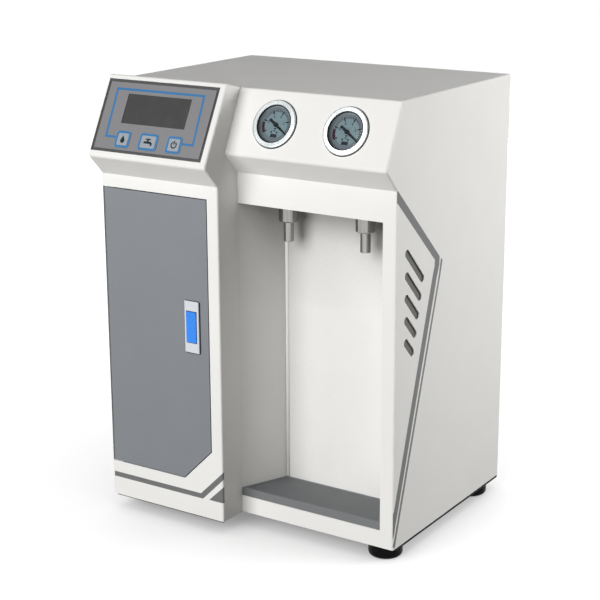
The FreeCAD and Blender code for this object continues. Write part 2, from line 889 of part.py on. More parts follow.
def key_flange_low():
    return overlay_low - key_flange_gap - key_flange_thickness


def key(side):
    cap_span = key_span(side, 0.0)
    cap = soft_box(cap_span[0], cap_span[1], (key_flange_low(), overlay_top + key_proud), key_corner)
    foot_span = key_span(side, key_flange)
    foot = panel_box(foot_span[0], foot_span[1],
                     (key_flange_low(), key_flange_low() + key_flange_thickness))
    return on(panel_place, join([cap, foot]))


# ---- Gauges, in the frame of the hood's face -----------------------------------------------------
lens_low = gauge_flange_height - lens_below_flange - lens_thickness
dial_top = lens_low - dial_below_lens
dial_low = dial_top - dial_thickness
boss_top = dial_low - shaft_boss_below_dial


def disc(radius, low, high):
    return rod(radius, Vector(0, 0, low), Vector(0, 0, high - low))


def at_gauge(side, shape):
    shape.translate(Vector(gauge_centres[side], gauge_up_face, 0))
    return on(gauge_place, shape)


def gauge_case(side):
    """Case with its front flange, the seats for lens and dial, the shaft's boss and the stem."""
    flange = disc(gauge_flange_radius, 0.0, gauge_flange_height)
    flange = flange.makeFillet(gauge_flange_round, [e for e in flange.Edges
                                                    if near(e.BoundBox.ZMin, gauge_flange_height)])
    floor = -gauge_case_depth
    body = disc(gauge_case_radius, floor, gauge_flange_height)
    stem = disc(gauge_stem_radius, floor - gauge_stem_length, floor)
    body = join([flange, body, stem])
    inner = gauge_case_radius - gauge_case_wall
    body = body.cut(disc(lens_radius, lens_low, gauge_flange_height + 1.0))
    body = body.cut(disc(lens_radius - dial_ledge / 2, dial_low, lens_low))
    body = body.cut(disc(inner - dial_ledge, floor + gauge_case_wall, dial_low))
    boss = disc(shaft_boss_radius, floor + gauge_case_wall / 2, boss_top)
    body = join([body, boss])
    body = body.cut(disc(shaft_radius + shaft_running_gap, floor + gauge_case_wall, boss_top + 1.0))
    body = body.cut(disc(gauge_stem_bore, floor - gauge_stem_length - 1.0, floor - 1.0))
    return at_gauge(side, body)


def gauge_dial(side):
    dial = disc(lens_radius - dial_ledge / 2, dial_low, dial_top)
    return at_gauge(side, dial.cut(disc(dial_hole_radius, dial_low - 1.0, dial_top + 1.0)))


def gauge_pointer(side):
    low = dial_top + pointer_above_dial
    high = low + pointer_thickness
    root, tip = pointer_root_width / 2, pointer_tip_width / 2
    outline = [(-pointer_tail, -root), (0.0, -root), (pointer_length, -tip), (pointer_length, tip),
               (0.0, root), (-pointer_tail, root)]
    blade = prism_z(outline, low, high)
    blade.rotate(Vector(0, 0, 0), Vector(0, 0, 1), pointer_rest_angle)
    hub = disc(pointer_hub_radius, low, high + pointer_thickness)
    shaft = disc(shaft_radius, low - shaft_length, low)
    return at_gauge(side, join([blade, hub, shaft]))


def gauge_lens(side):
    return at_gauge(side, disc(lens_radius, lens_low, lens_low + lens_thickness))


# ---- Nozzles and valves --------------------------------------------------------------------------
def nozzle_collar(side):
    low = bay_ceiling_z - collar_length
    collar = rod(collar_radius, Vector(nozzle_x[side], nozzle_back, low), Vector(0, 0, collar_length))
    collar = collar.makeChamfer(collar_chamfer, [e for e in collar.Edges if near(e.BoundBox.ZMax, low)])
    return collar.cut(rod(spout_radius, Vector(nozzle_x[side], nozzle_back, low - 1.0),
                          Vector(0, 0, collar_length + 2.0)))


def spout_tip_z():
    return bay_ceiling_z - collar_length - spout_length


def nozzle_spout(side):
    low = spout_tip_z()
    along = Vector(0, 0, valve_z - low)
    tube = rod(spout_radius, Vector(nozzle_x[side], nozzle_back, low), along)
    tube = tube.makeChamfer(spout_chamfer, [e for e in tube.Edges if near(e.BoundBox.ZMax, low)])
    return tube.cut(rod(spout_bore_radius, Vector(nozzle_x[side], nozzle_back, low), along))


def outlet_valve(side):
    """Solenoid valve on top of a spout: body with a port at the back, coil above."""
    x, y = nozzle_x[side], nozzle_back
    half = valve_width / 2
    body = box((x - half, x + half), (y - half, y + half), (valve_z, valve_z + valve_height))
    coil = rod(coil_radius, Vector(x, y, valve_z + valve_height), Vector(0, 0, coil_height))
    port = rod(nipple_radius, Vector(x, y + half, valve_port_z), Vector(0, nipple_length, 0))
    bore = rod(valve_bore_radius, Vector(x, y, valve_z), Vector(0, 0, valve_height / 2))
    return join([body, coil, port]).cut(bore)


# ---- Feet ----------------------------------------------------------------------------------------
def foot_places():
    return [(x, y) for x in (foot_inset_x, body_width - foot_inset_x)
            for y in (foot_inset_front, body_depth - foot_inset_back)]


def feet():
    solids = []
    for x, y in foot_places():
        foot = rod(foot_radius, Vector(x, y, -foot_height), Vector(0, 0, foot_height))
        foot = foot.makeFillet(foot_round, [e for e in foot.Edges if near(e.BoundBox.ZMax, -foot_height)])
        foot = foot.cut(rod(foot_recess_radius, Vector(x, y, -foot_height - 1.0),
                            Vector(0, 0, foot_recess_depth + 1.0)))
        solids.append(foot.cut(rod(foot_screw_radius, Vector(x, y, -foot_height),
                                   Vector(0, 0, foot_height + 1.0))))
    return solids


def foot_screws():
    screws = []
    for x, y in foot_places():
        seat = -foot_height + foot_recess_depth
        head = rod(foot_screw_head_radius, Vector(x, y, seat - foot_screw_head),
                   Vector(0, 0, foot_screw_head))
        shank = rod(foot_screw_radius, Vector(x, y, seat),
                    Vector(0, 0, sheet + foot_screw_above_floor - seat))
        screws.append(join([head, shank]))
    return screws


# ---- Water treatment -----------------------------------------------------------------------------
def vessel_bracket():
    """Upright carrier plate behind the bay, with a foot on the base."""
    left, right = 2 * sheet, body_width - 2 * sheet
    plate = box((left, right), (bulkhead_front, bulkhead_front + bulkhead_sheet), (sheet, bulkhead_top))
    foot = box((left, right), (bulkhead_front, bulkhead_front + bulkhead_foot),
               (sheet, sheet + bulkhead_sheet))
    return join([plate, foot])


def vessel(x, y, radius):
    """Upright pressure vessel: domed body, wider cap and two nipples on top."""
    body = rod(radius, Vector(x, y, vessel_bottom), Vector(0, 0, vessel_body_height))
    body = body.makeFillet(radius / 3, [e for e in body.Edges if near(e.BoundBox.ZMax, vessel_bottom)])
    cap = rod(radius + cap_overhang, Vector(x, y, vessel_bottom + vessel_body_height),
              Vector(0, 0, cap_height))
    cap = cap.makeFillet(cap_overhang, [e for e in cap.Edges if near(e.BoundBox.ZMin, vessel_top)])
    nipples = [rod(nipple_radius, Vector(x + way * nipple_offset, y, vessel_top),
                   Vector(0, 0, nipple_length)) for way in (-1, 1)]
    return join([body, cap] + nipples)


def membrane_vessel():
    """The membrane vessel also has a reject nipple near its foot, facing back."""
    reject = rod(nipple_radius, Vector(membrane_x, vessel_row_back, reject_height),
                 Vector(0, membrane_radius + nipple_length, 0))
    return join([vessel(membrane_x, vessel_row_back, membrane_radius), reject])


def resin_cartridge_right():
    """The right cartridge also has the tapping for the left gauge."""
    tap = rod(nipple_radius, Vector(gauge_centres["left"], vessel_row_back + gauge_tap_back,
                                    vessel_top - cap_height / 2),
              Vector(0, 0, cap_height / 2 + nipple_length))
    return join([vessel(resin_right_x, vessel_row_back, resin_radius), tap])


def clip(x, y, radius, level, plate_y):
    """Spring clip: an open band round a vessel, with a block on the carrier plate."""
    band = rod(radius + clip_band, Vector(x, y, level), Vector(0, 0, clip_width))
    toward = 1.0 if plate_y > y else -1.0
    block_y = sorted((y + toward * (radius - clip_band), plate_y))
    block = box((x - clip_block / 2, x + clip_block / 2), block_y, (level, level + clip_width))
    body = join([band, block])
    body = body.cut(rod(radius, Vector(x, y, level - 1.0), Vector(0, 0, clip_width + 2.0)))
    half = radius * clip_mouth
    mouth_y = sorted((y, y - toward * (radius + clip_band + 1.0)))
    return body.cut(box((x - half, x + half), mouth_y, (level - 1.0, level + clip_width + 1.0)))


def vessel_clips():
    rear = bulkhead_front + bulkhead_sheet
    held = [(x, prefilter_back, prefilter_radius, bulkhead_front) for x in prefilter_centres.values()]
    held += [(membrane_x, vessel_row_back, membrane_radius, rear),
             (resin_left_x, vessel_row_back, resin_radius, rear),
             (resin_right_x, vessel_row_back, resin_radius, rear),
             (uv_x, vessel_row_back, uv_radius, rear)]
    return [clip(x, y, radius, vessel_bottom + level, plate)
            for x, y, radius, plate in held for level in (clip_low_level, clip_high_level)]


# ---- Tubing --------------------------------------------------------------------------------------
def tube(points):
    """Round tube along straight runs joined by tangent arcs."""
    edges = []
    start = points[0]
    for before, corner, after in zip(points, points[1:], points[2:]):
        into = (corner - before).normalize()
        out = (after - corner).normalize()
        turn = into.getAngle(out)
        cut = tube_bend * math.tan(turn / 2)
        first, last = corner - into * cut, corner + out * cut
        middle = corner + (out - into).normalize() * (tube_bend / math.cos(turn / 2) - tube_bend)
        edges.append(Part.LineSegment(start, first).toShape())
        edges.append(Part.Arc(first, middle, last).toShape())
        start = last
    edges.append(Part.LineSegment(start, points[-1]).toShape())
    path = Part.Wire(edges)
    ring = Part.Wire(Part.makeCircle(tube_radius, points[0], points[1] - points[0]))
    return path.makePipeShell([ring], True, False)


def bridge(x_from, x_to, y):
    """Tube that rises from one nipple, crosses over and drops on the next."""
    high = nipple_top + tube_rise
    return tube([Vector(x_from, y, nipple_top), Vector(x_from, y, high), Vector(x_to, y, high),
                 Vector(x_to, y, nipple_top)])


def gauge_line(side, end_y, end_z):
    """Tube from a gauge's stem, back and down to its tapping."""
    x = gauge_centres[side]
    out = gauge_place.Rotation.multVec(Vector(0, 0, -1))
    stem = gauge_place.multVec(Vector(x, gauge_up_face, -gauge_case_depth - gauge_stem_length))
    turn = stem + out * (2 * tube_bend)
    return tube([stem, turn, Vector(x, end_y, turn.z), Vector(x, end_y, end_z)])


def tubing():
    rear = body_depth - sheet - port_in
    over = valve_port_z
    valve_y = nozzle_back + valve_width / 2 + nipple_length
    left_out = prefilter_centres["left"] - nipple_offset
    right_in = feed_x()
    return [
        tube([Vector(right_in, prefilter_back, nipple_top), Vector(right_in, prefilter_back, over),
              Vector(right_in, rear, over)]),
        bridge(prefilter_centres["left"] + nipple_offset, prefilter_centres["right"] - nipple_offset,
               prefilter_back),
        tube([Vector(left_out, prefilter_back, nipple_top), Vector(left_out, prefilter_back, over),
              Vector(left_out, vessel_row_back, over), Vector(left_out, vessel_row_back, nipple_top)]),
        bridge(membrane_x + nipple_offset, resin_left_x - nipple_offset, vessel_row_back),
        bridge(resin_left_x + nipple_offset, resin_right_x - nipple_offset, vessel_row_back),
        bridge(resin_right_x + nipple_offset, uv_x - nipple_offset, vessel_row_back),
        tube([Vector(nozzle_x["right"], vessel_row_back, nipple_top),
              Vector(nozzle_x["right"], vessel_row_back, over), Vector(nozzle_x["right"], valve_y, over)]),
        tube([Vector(nozzle_x["left"], valve_y, over), Vector(nozzle_x["left"], rear, over)]),
        tube([Vector(membrane_x, vessel_row_back + membrane_radius + nipple_length, reject_height),
              Vector(membrane_x, rear, reject_height)]),
        tube([Vector(pump_x, pump_back + pump_head_radius + nipple_length, pump_axis_z()),
              Vector(pump_x, rear, pump_axis_z())]),
        gauge_line("left", vessel_row_back + gauge_tap_back, nipple_top),
        gauge_line("right", pump_back, pump_axis_z() + pump_head_radius + nipple_length),
    ]


# ---- Pump ----------------------------------------------------------------------------------------
def pump_axis_z():
    return sheet + pump_axis_height


def pump_head():
    left = pump_x - pump_head_length / 2
    body = rod(pump_head_radius, Vector(left, pump_back, pump_axis_z()), Vector(pump_head_length, 0, 0))
    body = body.makeFillet(pump_head_round, [e for e in body.Edges
                                             if near(e.BoundBox.XMin, left + pump_head_length)])
    centre = Vector(pump_x, pump_back, pump_axis_z())
    reach = pump_head_radius + nipple_length
    return join([body, rod(nipple_radius, centre, Vector(0, 0, reach)),
                 rod(nipple_radius, centre, Vector(0, reach, 0))])


def pump_motor():
    right = pump_x - pump_head_length / 2
    body = rod(motor_radius, Vector(right, pump_back, pump_axis_z()), Vector(-motor_length, 0, 0))
    left = right - motor_length
    return body.makeFillet(motor_round, [e for e in body.Edges if near(e.BoundBox.XMax, left)])


def pump_cradle():
    """Two saddles on a foot plate that carry the motor."""
    right = pump_x - pump_head_length / 2 - cradle_thickness
    left = right - motor_length + 2 * cradle_thickness
    floor = sheet + cradle_thickness
    plate = box((left, right), (pump_back - motor_radius, pump_back + motor_radius), (sheet, floor))
    solids = [plate]
    for x in (left, right - cradle_width):
        solids.append(box((x, x + cradle_width), (pump_back - motor_radius, pump_back + motor_radius),
                          (floor, pump_axis_z() - motor_radius / 2)))
    body = join(solids)
    return body.cut(rod(motor_radius, Vector(left - 1.0, pump_back, pump_axis_z()),
                        Vector(right - left + 2.0, 0, 0)))


# ---- Power and control ---------------------------------------------------------------------------
def power_supply():
    back = body_depth - sheet - supply_back_gap
    body = box((supply_left, supply_left + supply_length), (back - supply_depth, back),
               (sheet, sheet + supply_height))
    return body.makeFillet(supply_round, [e for e in body.Edges if abs(e.tangentAt(0).z) > 0.9])


def control_board():
    """Circuit board on pillars on the left side panel, with its large components."""
    x = sheet + control_board_pillar
    y0, z0 = control_board_front, control_board_bottom
    y1, z1 = y0 + control_board_length, z0 + control_board_height
    board = box((x, x + board_thickness), (y0, y1), (z0, z1))
    pillars = [rod(pillar_radius, Vector(sheet, y, z), Vector(control_board_pillar, 0, 0))
               for y in (y0 + pillar_radius * 2, y1 - pillar_radius * 2)
               for z in (z0 + pillar_radius * 2, z1 - pillar_radius * 2)]
    face = x + board_thickness
    parts = []
    for i in range(capacitor_count):
        y, z = y0 + capacitor_from_edge + i * capacitor_pitch, z0 + capacitor_above_edge
        parts.append(box((face, face + capacitor_height), (y, y + capacitor_width),
                         (z, z + capacitor_width)))
    y, z = y0 + processor_from_edge, z0 + processor_above_edge
    parts.append(box((face, face + processor_height), (y, y + processor_size), (z, z + processor_size)))
    z = z1 - terminal_below_edge
    parts.append(box((face, face + terminal_height), (y0 + terminal_end_gap, y1 - terminal_end_gap),
                     (z - terminal_depth, z)))
    return join([board] + pillars + parts)


# ---- Rear fittings -------------------------------------------------------------------------------
def feed_x():
    return prefilter_centres["right"] + nipple_offset


def port_places():
    return {"feed": (feed_x(), valve_port_z), "product": (nozzle_x["left"], valve_port_z),
            "reject": (membrane_x, reject_height), "tank": (pump_x, pump_axis_z())}


def tube_ports():
    ports = []
    for x, z in port_places().values():
        inner = body_depth - sheet - port_in
        outer = body_depth + port_out
        body = rod(port_radius, Vector(x, inner, z), Vector(0, outer - inner, 0))
        flange = rod(port_flange_radius, Vector(x, body_depth, z), Vector(0, port_flange, 0))
        body = join([body, flange])
        ports.append(body.cut(rod(port_bore_radius, Vector(x, outer - port_bore_depth, z),
                                  Vector(0, port_bore_depth + 1.0, 0))))
    return ports


def entry_centre_z():
    return entry_bottom + entry_height / 2


def socket_x():
    return entry_left + entry_wall + socket_width / 2 + entry_fitting_inset


def rocker_x():
    return entry_left + entry_width - entry_wall - rocker_width / 2 - entry_fitting_inset


def rocker_pivot_y():
    return body_depth - rocker_pivot_depth


def power_entry():
    """Mains inlet and switch in one housing, with three contact pins in the socket."""
    face = body_depth + entry_flange
    flange = box((entry_left - entry_lip, entry_left + entry_width + entry_lip), (body_depth, face),
                 (entry_bottom - entry_lip, entry_bottom + entry_height + entry_lip))
    body = box((entry_left, entry_left + entry_width), (face - entry_depth, face),
               (entry_bottom, entry_bottom + entry_height))
    body = join([flange, body])
    x, z = socket_x(), entry_centre_z()
    half_w, half_h = socket_width / 2, socket_height / 2
    cut = half_h / 2
    outline = [(x - half_w, z - half_h), (x + half_w, z - half_h),
               (x + half_w, z + half_h - cut), (x + half_w - cut, z + half_h),
               (x - half_w + cut, z + half_h), (x - half_w, z + half_h - cut)]
    body = body.cut(prism_y(outline, face - socket_depth, face + 1.0))
    floor = face - socket_depth
    pins = []
    for i, up in ((-1, -contact_below_middle), (0, contact_above_middle), (1, -contact_below_middle)):
        middle = x + i * contact_pitch
        pins.append(box((middle - contact_width / 2, middle + contact_width / 2),
                        (floor - 1.0, floor - 1.0 + contact_length),
                        (z + up - contact_tall / 2, z + up + contact_tall / 2)))
    well_w, well_h = rocker_width / 2 + rocker_gap, rocker_height / 2 + rocker_gap
    well = box((rocker_x() - well_w, rocker_x() + well_w), (face - entry_depth + entry_wall, face + 1.0),
               (z - well_h, z + well_h))
    body = join([body] + pins).cut(well)
    pin = rod(rocker_pin_radius, Vector(rocker_x() - well_w, rocker_pivot_y(), z),
              Vector(2 * well_w, 0, 0))
    return join([body, pin])


def power_rocker():
    """Rocker of the switch, resting with its upper half pressed in."""
    x, z = rocker_x(), entry_centre_z()
    face = body_depth + entry_flange
    half = rocker_height / 2 - rocker_end_gap
    deep = body_depth - rocker_depth
    block = box((x - rocker_width / 2, x + rocker_width / 2), (deep, face + rocker_proud),
                (z - half, z + half))
    shell = rod(rocker_radius, Vector(x - rocker_width, face + 1.0 + rocker_radius, z),
                Vector(2 * rocker_width, 0, 0))
    skirt = rod(half, Vector(x - rocker_width, rocker_pivot_y(), z), Vector(2 * rocker_width, 0, 0))
    body = block.cut(shell).common(skirt)
    bore = rod(rocker_pin_radius + rocker_running_gap, Vector(x - rocker_width, rocker_pivot_y(), z),
               Vector(2 * rocker_width, 0, 0))
    body = body.cut(bore)
    body.rotate(Vector(x, rocker_pivot_y(), z), Vector(1, 0, 0), rocker_angle)
    return body


def rear_screw_places():
    xs = (screw_inset, body_width - screw_inset)
    zs = (screw_inset, body_height / 2, body_height - corner_return - screw_inset)
    return [(x, z) for x in xs for z in zs]


def rear_screws():
    screws = []
    for x, z in rear_screw_places():
        head = rod(screw_head_radius, Vector(x, body_depth, z), Vector(0, screw_head, 0))
        head = head.makeFillet(screw_head / 2, [e for e in head.Edges
                                                if near(e.BoundBox.YMin, body_depth + screw_head)])
        shank = rod(screw_radius, Vector(x, body_depth, z), Vector(0, -screw_length, 0))
        screws.append(join([head, shank]))
    return screws


# ---- The whole part ------------------------------------------------------------------------------
def all_nodes():
    nodes = {
        "base_pan": base_pan(),
        "left_side_panel": side_panel(column_line, 0.0),
        "right_side_panel": right_side_panel(),
        "top_cover": top_cover(),
        "rear_panel": rear_panel(),
        "gauge_hood": gauge_hood(),
        "column_front": column_front(),
        "control_housing": control_housing(),
        "bay_liner": bay_liner(),
        "drip_tray": drip_tray(),
        "tray_mat": tray_mat(),
        "door_panel": door_panel(),
        "hinge_brackets": hinge_brackets(),
        "hinge_pins": hinge_pins(),
        "door_magnet": door_magnet(),
        "latch_plate": latch_plate(),
        "paddle_pin": paddle_pin(),
        "latch_paddle": latch_paddle(),
        "display_bezel": display_bezel(),
        "display_overlay": display_overlay(),
        "lcd_window": lcd_window(),
        "display_board": display_board(),
        "feet": feet(),
        "foot_screws": foot_screws(),
        "vessel_bracket": vessel_bracket(),
        "vessel_clips": vessel_clips(),
        "membrane_vessel": membrane_vessel(),
        "resin_cartridge_left": vessel(resin_left_x, vessel_row_back, resin_radius),
        "resin_cartridge_right": resin_cartridge_right(),
        "uv_chamber": vessel(uv_x, vessel_row_back, uv_radius),
        "pump_head": pump_head(),
        "pump_motor": pump_motor(),
        "pump_cradle": pump_cradle(),
        "power_supply": power_supply(),
        "control_board": control_board(),
        "tubing": tubing(),
        "tube_ports": tube_ports(),
        "power_entry": power_entry(),
        "power_rocker": power_rocker(),
        "rear_screws": rear_screws(),
    }
    for side in key_widths:
        nodes["key_" + side] = key(side)
    for side in ("left", "right"):
        nodes["prefilter_" + side] = vessel(prefilter_centres[side], prefilter_back, prefilter_radius)
        nodes["gauge_case_" + side] = gauge_case(side)
        nodes["gauge_dial_" + side] = gauge_dial(side)
        nodes["gauge_pointer_" + side] = gauge_pointer(side)
        nodes["gauge_lens_" + side] = gauge_lens(side)
        nodes["nozzle_collar_" + side] = nozzle_collar(side)
        nodes["nozzle_spout_" + side] = nozzle_spout(side)
        nodes["outlet_valve_" + side] = outlet_valve(side)
    return {name: Part.Compound(made) if isinstance(made, list) else made
            for name, made in nodes.items()}


def bottom_centre(nodes):
    """Bottom centre of the box round every node."""
    extent = Part.Compound(list(nodes.values())).optimalBoundingBox()
    return Vector((extent.XMin + extent.XMax) / 2, (extent.YMin + extent.YMax) / 2, extent.ZMin)


def main():
    os.makedirs("parts", exist_ok=True)
    nodes = all_nodes()
    origin = bottom_centre(nodes)
    for name, shape in nodes.items():
        shape.translate(origin * -1)
        shape.exportStep("parts/" + name + ".step")


main()
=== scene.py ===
import json
import math

import bmesh
import bpy
from mathutils import Matrix, Vector


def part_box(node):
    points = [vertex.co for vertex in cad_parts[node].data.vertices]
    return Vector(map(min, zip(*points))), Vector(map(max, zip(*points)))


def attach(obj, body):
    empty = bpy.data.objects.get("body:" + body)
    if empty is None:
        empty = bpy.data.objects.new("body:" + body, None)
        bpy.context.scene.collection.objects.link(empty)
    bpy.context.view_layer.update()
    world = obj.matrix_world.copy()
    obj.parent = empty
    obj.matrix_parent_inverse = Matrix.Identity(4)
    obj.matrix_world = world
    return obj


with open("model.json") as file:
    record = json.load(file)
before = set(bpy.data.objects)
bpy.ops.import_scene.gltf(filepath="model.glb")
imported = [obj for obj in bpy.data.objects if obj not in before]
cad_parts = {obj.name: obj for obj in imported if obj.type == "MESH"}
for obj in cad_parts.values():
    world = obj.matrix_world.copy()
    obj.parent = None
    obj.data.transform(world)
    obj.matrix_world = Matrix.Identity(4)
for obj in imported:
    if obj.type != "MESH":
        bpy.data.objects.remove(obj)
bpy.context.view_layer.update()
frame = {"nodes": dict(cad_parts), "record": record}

# The bench-top water system's looks. Shapes are given in millimetres, either on the face that
# carries them (right, up, out) or in the cabinet frame: x right from its left side, y back from the
# bay's front, z up from its underside. The scene itself is in metres.
MM = 0.001

# The cabinet's own sizes, as in the CAD.
COLUMN_PROUD = 42.5  # how far the column stands before the bay
COLUMN_WIDTH = 184.0
BODY_WIDTH = 412.5
EDGE = 2.5  # radius of the rounded vertical edges
PANEL_FOOT, PANEL_UP = (-68.5, 470.1), (0.0, 50.5, 97.6)  # y and z of its lower edge, and its slope
HOOD_LIP, HOOD_UP = (-26.5, 482.6), (0.0, 36.9, 77.4)
FLOOR_Z = 0.0

CABINET = Matrix.Translation(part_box("column_front")[0] + Vector((0.0, COLUMN_PROUD * MM, 0.0)))


def face_place(x, y, z, right, up):
    """Matrix from millimetres on a face (right, up, out) to the scene's metres."""
    right, up = Vector(right).normalized(), Vector(up).normalized()
    turn = Matrix((right, up, right.cross(up))).transposed().to_4x4()
    return CABINET @ Matrix.Translation(Vector((x, y, z)) * MM) @ turn @ Matrix.Scale(MM, 4)


PANEL = face_place(0.0, *PANEL_FOOT, (1, 0, 0), PANEL_UP)
HOOD = face_place(0.0, *HOOD_LIP, (1, 0, 0), HOOD_UP)
COLUMN = face_place(0.0, -COLUMN_PROUD, 0.0, (1, 0, 0), (0, 0, 1))
RIGHT_SIDE = face_place(BODY_WIDTH, 0.0, 0.0, (0, 1, 0), (0, 0, 1))
FROM_ABOVE = face_place(0.0, 0.0, 0.0, (1, 0, 0), (0, 1, 0))


# ---- Shader nodes --------------------------------------------------------------------------------
EDGE_BEND = (0.02, 0.25)  # one less the cosine of how far the normal turns, on flats and at edges
PAINTED_SHADE_TILT = 0.8  # how strongly the painted shade in hollows looks upwards, against the face's own normal
PAINTED_SHADE_LEAST, PAINTED_SHADE_OPEN = 0.55, (0.25, 0.6)  # painted shade in hollows: darkest, and the open shares it rises over
SHADE_SAMPLES = 8


def lin(red, green, blue):
    """Linear colour of an sRGB one given in 0-255."""
    return [c / 255 / 12.92 if c < 10.3 else ((c / 255 + 0.055) / 1.055) ** 2.4
            for c in (red, green, blue)] + [1.0]


def add(tree, kind, inputs=(), **settings):
    """A shader node with its settings, its constants and its links."""
    node = tree.nodes.new(kind)
    for key, value in settings.items():
        setattr(node, key, value)
    for key, value in dict(inputs).items():
        if isinstance(value, bpy.types.NodeSocket):
            tree.links.new(value, node.inputs[key])
        else:
            node.inputs[key].default_value = value
    return node


def bare_tree(owner):
    """The emptied node tree of a material or of the world."""
    owner.use_nodes = True
    owner.node_tree.nodes.clear()
    return owner.node_tree


def finish_tree(tree, kind, shader):
    """Send the shader to a new output node."""
    tree.links.new(shader.outputs[0], add(tree, kind).inputs["Surface"])


def noise(tree, coordinates, size, detail=3.0):
    """Noise with features of about the given size in millimetres, from 0 to 1."""
    made = add(tree, "ShaderNodeTexNoise", {"Vector": coordinates, "Scale": 1.0 / (size * MM),
                                            "Detail": detail, "Roughness": 0.5})
    return made.outputs["Fac"]


def spread(tree, value, low, high, source=(0.3, 0.7)):
    """Map a range, by default the usual one of a noise, to low-high."""
    made = add(tree, "ShaderNodeMapRange", {"Value": value, "From Min": source[0],
                                            "From Max": source[1], "To Min": low, "To Max": high})
    return made.outputs["Result"]


def maths(tree, operation, first, second):
    return add(tree, "ShaderNodeMath", {0: first, 1: second}, operation=operation).outputs[0]


def times(tree, first, second):
    return maths(tree, "MULTIPLY", first, second)


def mix_colour(tree, factor, first, second):
    """From a linked colour to a written one."""
    made = add(tree, "ShaderNodeMix", data_type="RGBA")
    tree.links.new(factor, made.inputs[0])
    tree.links.new(first, made.inputs[6])
    made.inputs[7].default_value = lin(*second)
    return made.outputs[2]


def edge_mask(tree, radius):
    """One along convex and concave edges, nought on flats."""
    bevel = add(tree, "ShaderNodeBevel", {"Radius": radius * MM}, samples=4)
    true = add(tree, "ShaderNodeNewGeometry")
    dot = add(tree, "ShaderNodeVectorMath", {0: bevel.outputs[0], 1: true.outputs["Normal"]},
              operation="DOT_PRODUCT")
    bend = maths(tree, "SUBTRACT", 1.0, dot.outputs["Value"])
    return spread(tree, bend, 0.0, 1.0, EDGE_BEND)


def painted_occlusion_shade(tree, reach):
    """Painted shade: darker where other faces close in above and around, within the reach in
    millimetres.
    """
    facing = add(tree, "ShaderNodeNewGeometry").outputs["Normal"]
    raised = add(tree, "ShaderNodeVectorMath", {0: facing, 1: (0.0, 0.0, PAINTED_SHADE_TILT)},
                 operation="ADD")
    upward = add(tree, "ShaderNodeVectorMath", {0: raised.outputs[0]}, operation="NORMALIZE")
    share = add(tree, "ShaderNodeAmbientOcclusion",
                {"Distance": reach * MM, "Normal": upward.outputs[0]}, samples=SHADE_SAMPLES)
    return spread(tree, share.outputs["AO"], PAINTED_SHADE_LEAST, 1.0, PAINTED_SHADE_OPEN)


def seen_rays(tree):
    """One for the rays that look straight, by reflection or through glass."""
    ray = add(tree, "ShaderNodeLightPath").outputs
    both = maths(tree, "MAXIMUM", ray["Is Camera Ray"], ray["Is Glossy Ray"])
    return maths(tree, "MAXIMUM", both, ray["Is Transmission Ray"])


# ---- Materials -----------------------------------------------------------------------------------
WEAR_AND_HIGHLIGHT_SIZE, WEAR_AND_HIGHLIGHT_LEAST = 9.0, 0.35  # patches along an edge, worn-looking and painted highlight, and how faint they get between them
COAT_ROUGHNESS = 0.08
PLASTIC_IOR, GLASS_IOR = 1.5, 1.45
SMEAR_SIZE, SMEAR = 14.0, (0.02, 0.09)  # patches on the glass, and their roughness


def surface(name, colour, rough, *, metallic=0.0, coat=0.0, specular=0.5, mottle_and_reflection=0.02,
            mottle_size=70.0, grain=0.015, grain_size=0.7, bump=0.01, bump_size=0.8,
            rough_vary=0.05, stretch=None, edge=None, edge_radius=0.8, painted_shade_reach=0.0):
    """A finish whose colour, gloss and relief vary over the surface; sizes in millimetres."""
    made = bpy.data.materials.new(name)
    made.use_nodes = True
    tree = made.node_tree
    shader = tree.nodes["Principled BSDF"]
    place = add(tree, "ShaderNodeTexCoord").outputs["Object"]
    if stretch:
        place = add(tree, "ShaderNodeMapping", {"Vector": place, "Scale": stretch}).outputs[0]
    clouds = noise(tree, place, mottle_size, 4.0)
    specks = noise(tree, place, grain_size, 2.0)
    value = times(tree, spread(tree, clouds, 1 - mottle_and_reflection, 1 + mottle_and_reflection),
                  spread(tree, specks, 1 - grain, 1 + grain))
    # painted shade, darker in hollows and under ceilings
    if painted_shade_reach:
        value = times(tree, value, painted_occlusion_shade(tree, painted_shade_reach))
    tint = add(tree, "ShaderNodeHueSaturation", {"Color": lin(*colour), "Value": value}).outputs[0]
    # edge tone in patches: lighter ones are painted highlights along edges
    if edge:
        wear_and_highlight = spread(tree, noise(tree, place, WEAR_AND_HIGHLIGHT_SIZE), WEAR_AND_HIGHLIGHT_LEAST, 1.0)
        tint = mix_colour(tree, times(tree, edge_mask(tree, edge_radius), wear_and_highlight), tint, edge)
    gloss = spread(tree, noise(tree, place, mottle_size / 3), rough - rough_vary,
                   rough + rough_vary)
    relief = add(tree, "ShaderNodeBump", {"Height": noise(tree, place, bump_size, 2.0),
                                          "Distance": bump * MM, "Strength": 1.0})
    tree.links.new(tint, shader.inputs["Base Color"])
    tree.links.new(gloss, shader.inputs["Roughness"])
    tree.links.new(relief.outputs[0], shader.inputs["Normal"])
    for socket, constant in {"Metallic": metallic, "Coat Weight": coat,
                             "Coat Roughness": COAT_ROUGHNESS, "Specular IOR Level": specular,
                             "IOR": PLASTIC_IOR}.items():
        shader.inputs[socket].default_value = constant
    return made


def surfaces(rows):
    """Finishes by name, from rows of colour, roughness and the rest of what surface takes."""
    return {name: surface(name, colour, rough, **rest)
            for name, (colour, rough, rest) in rows.items()}


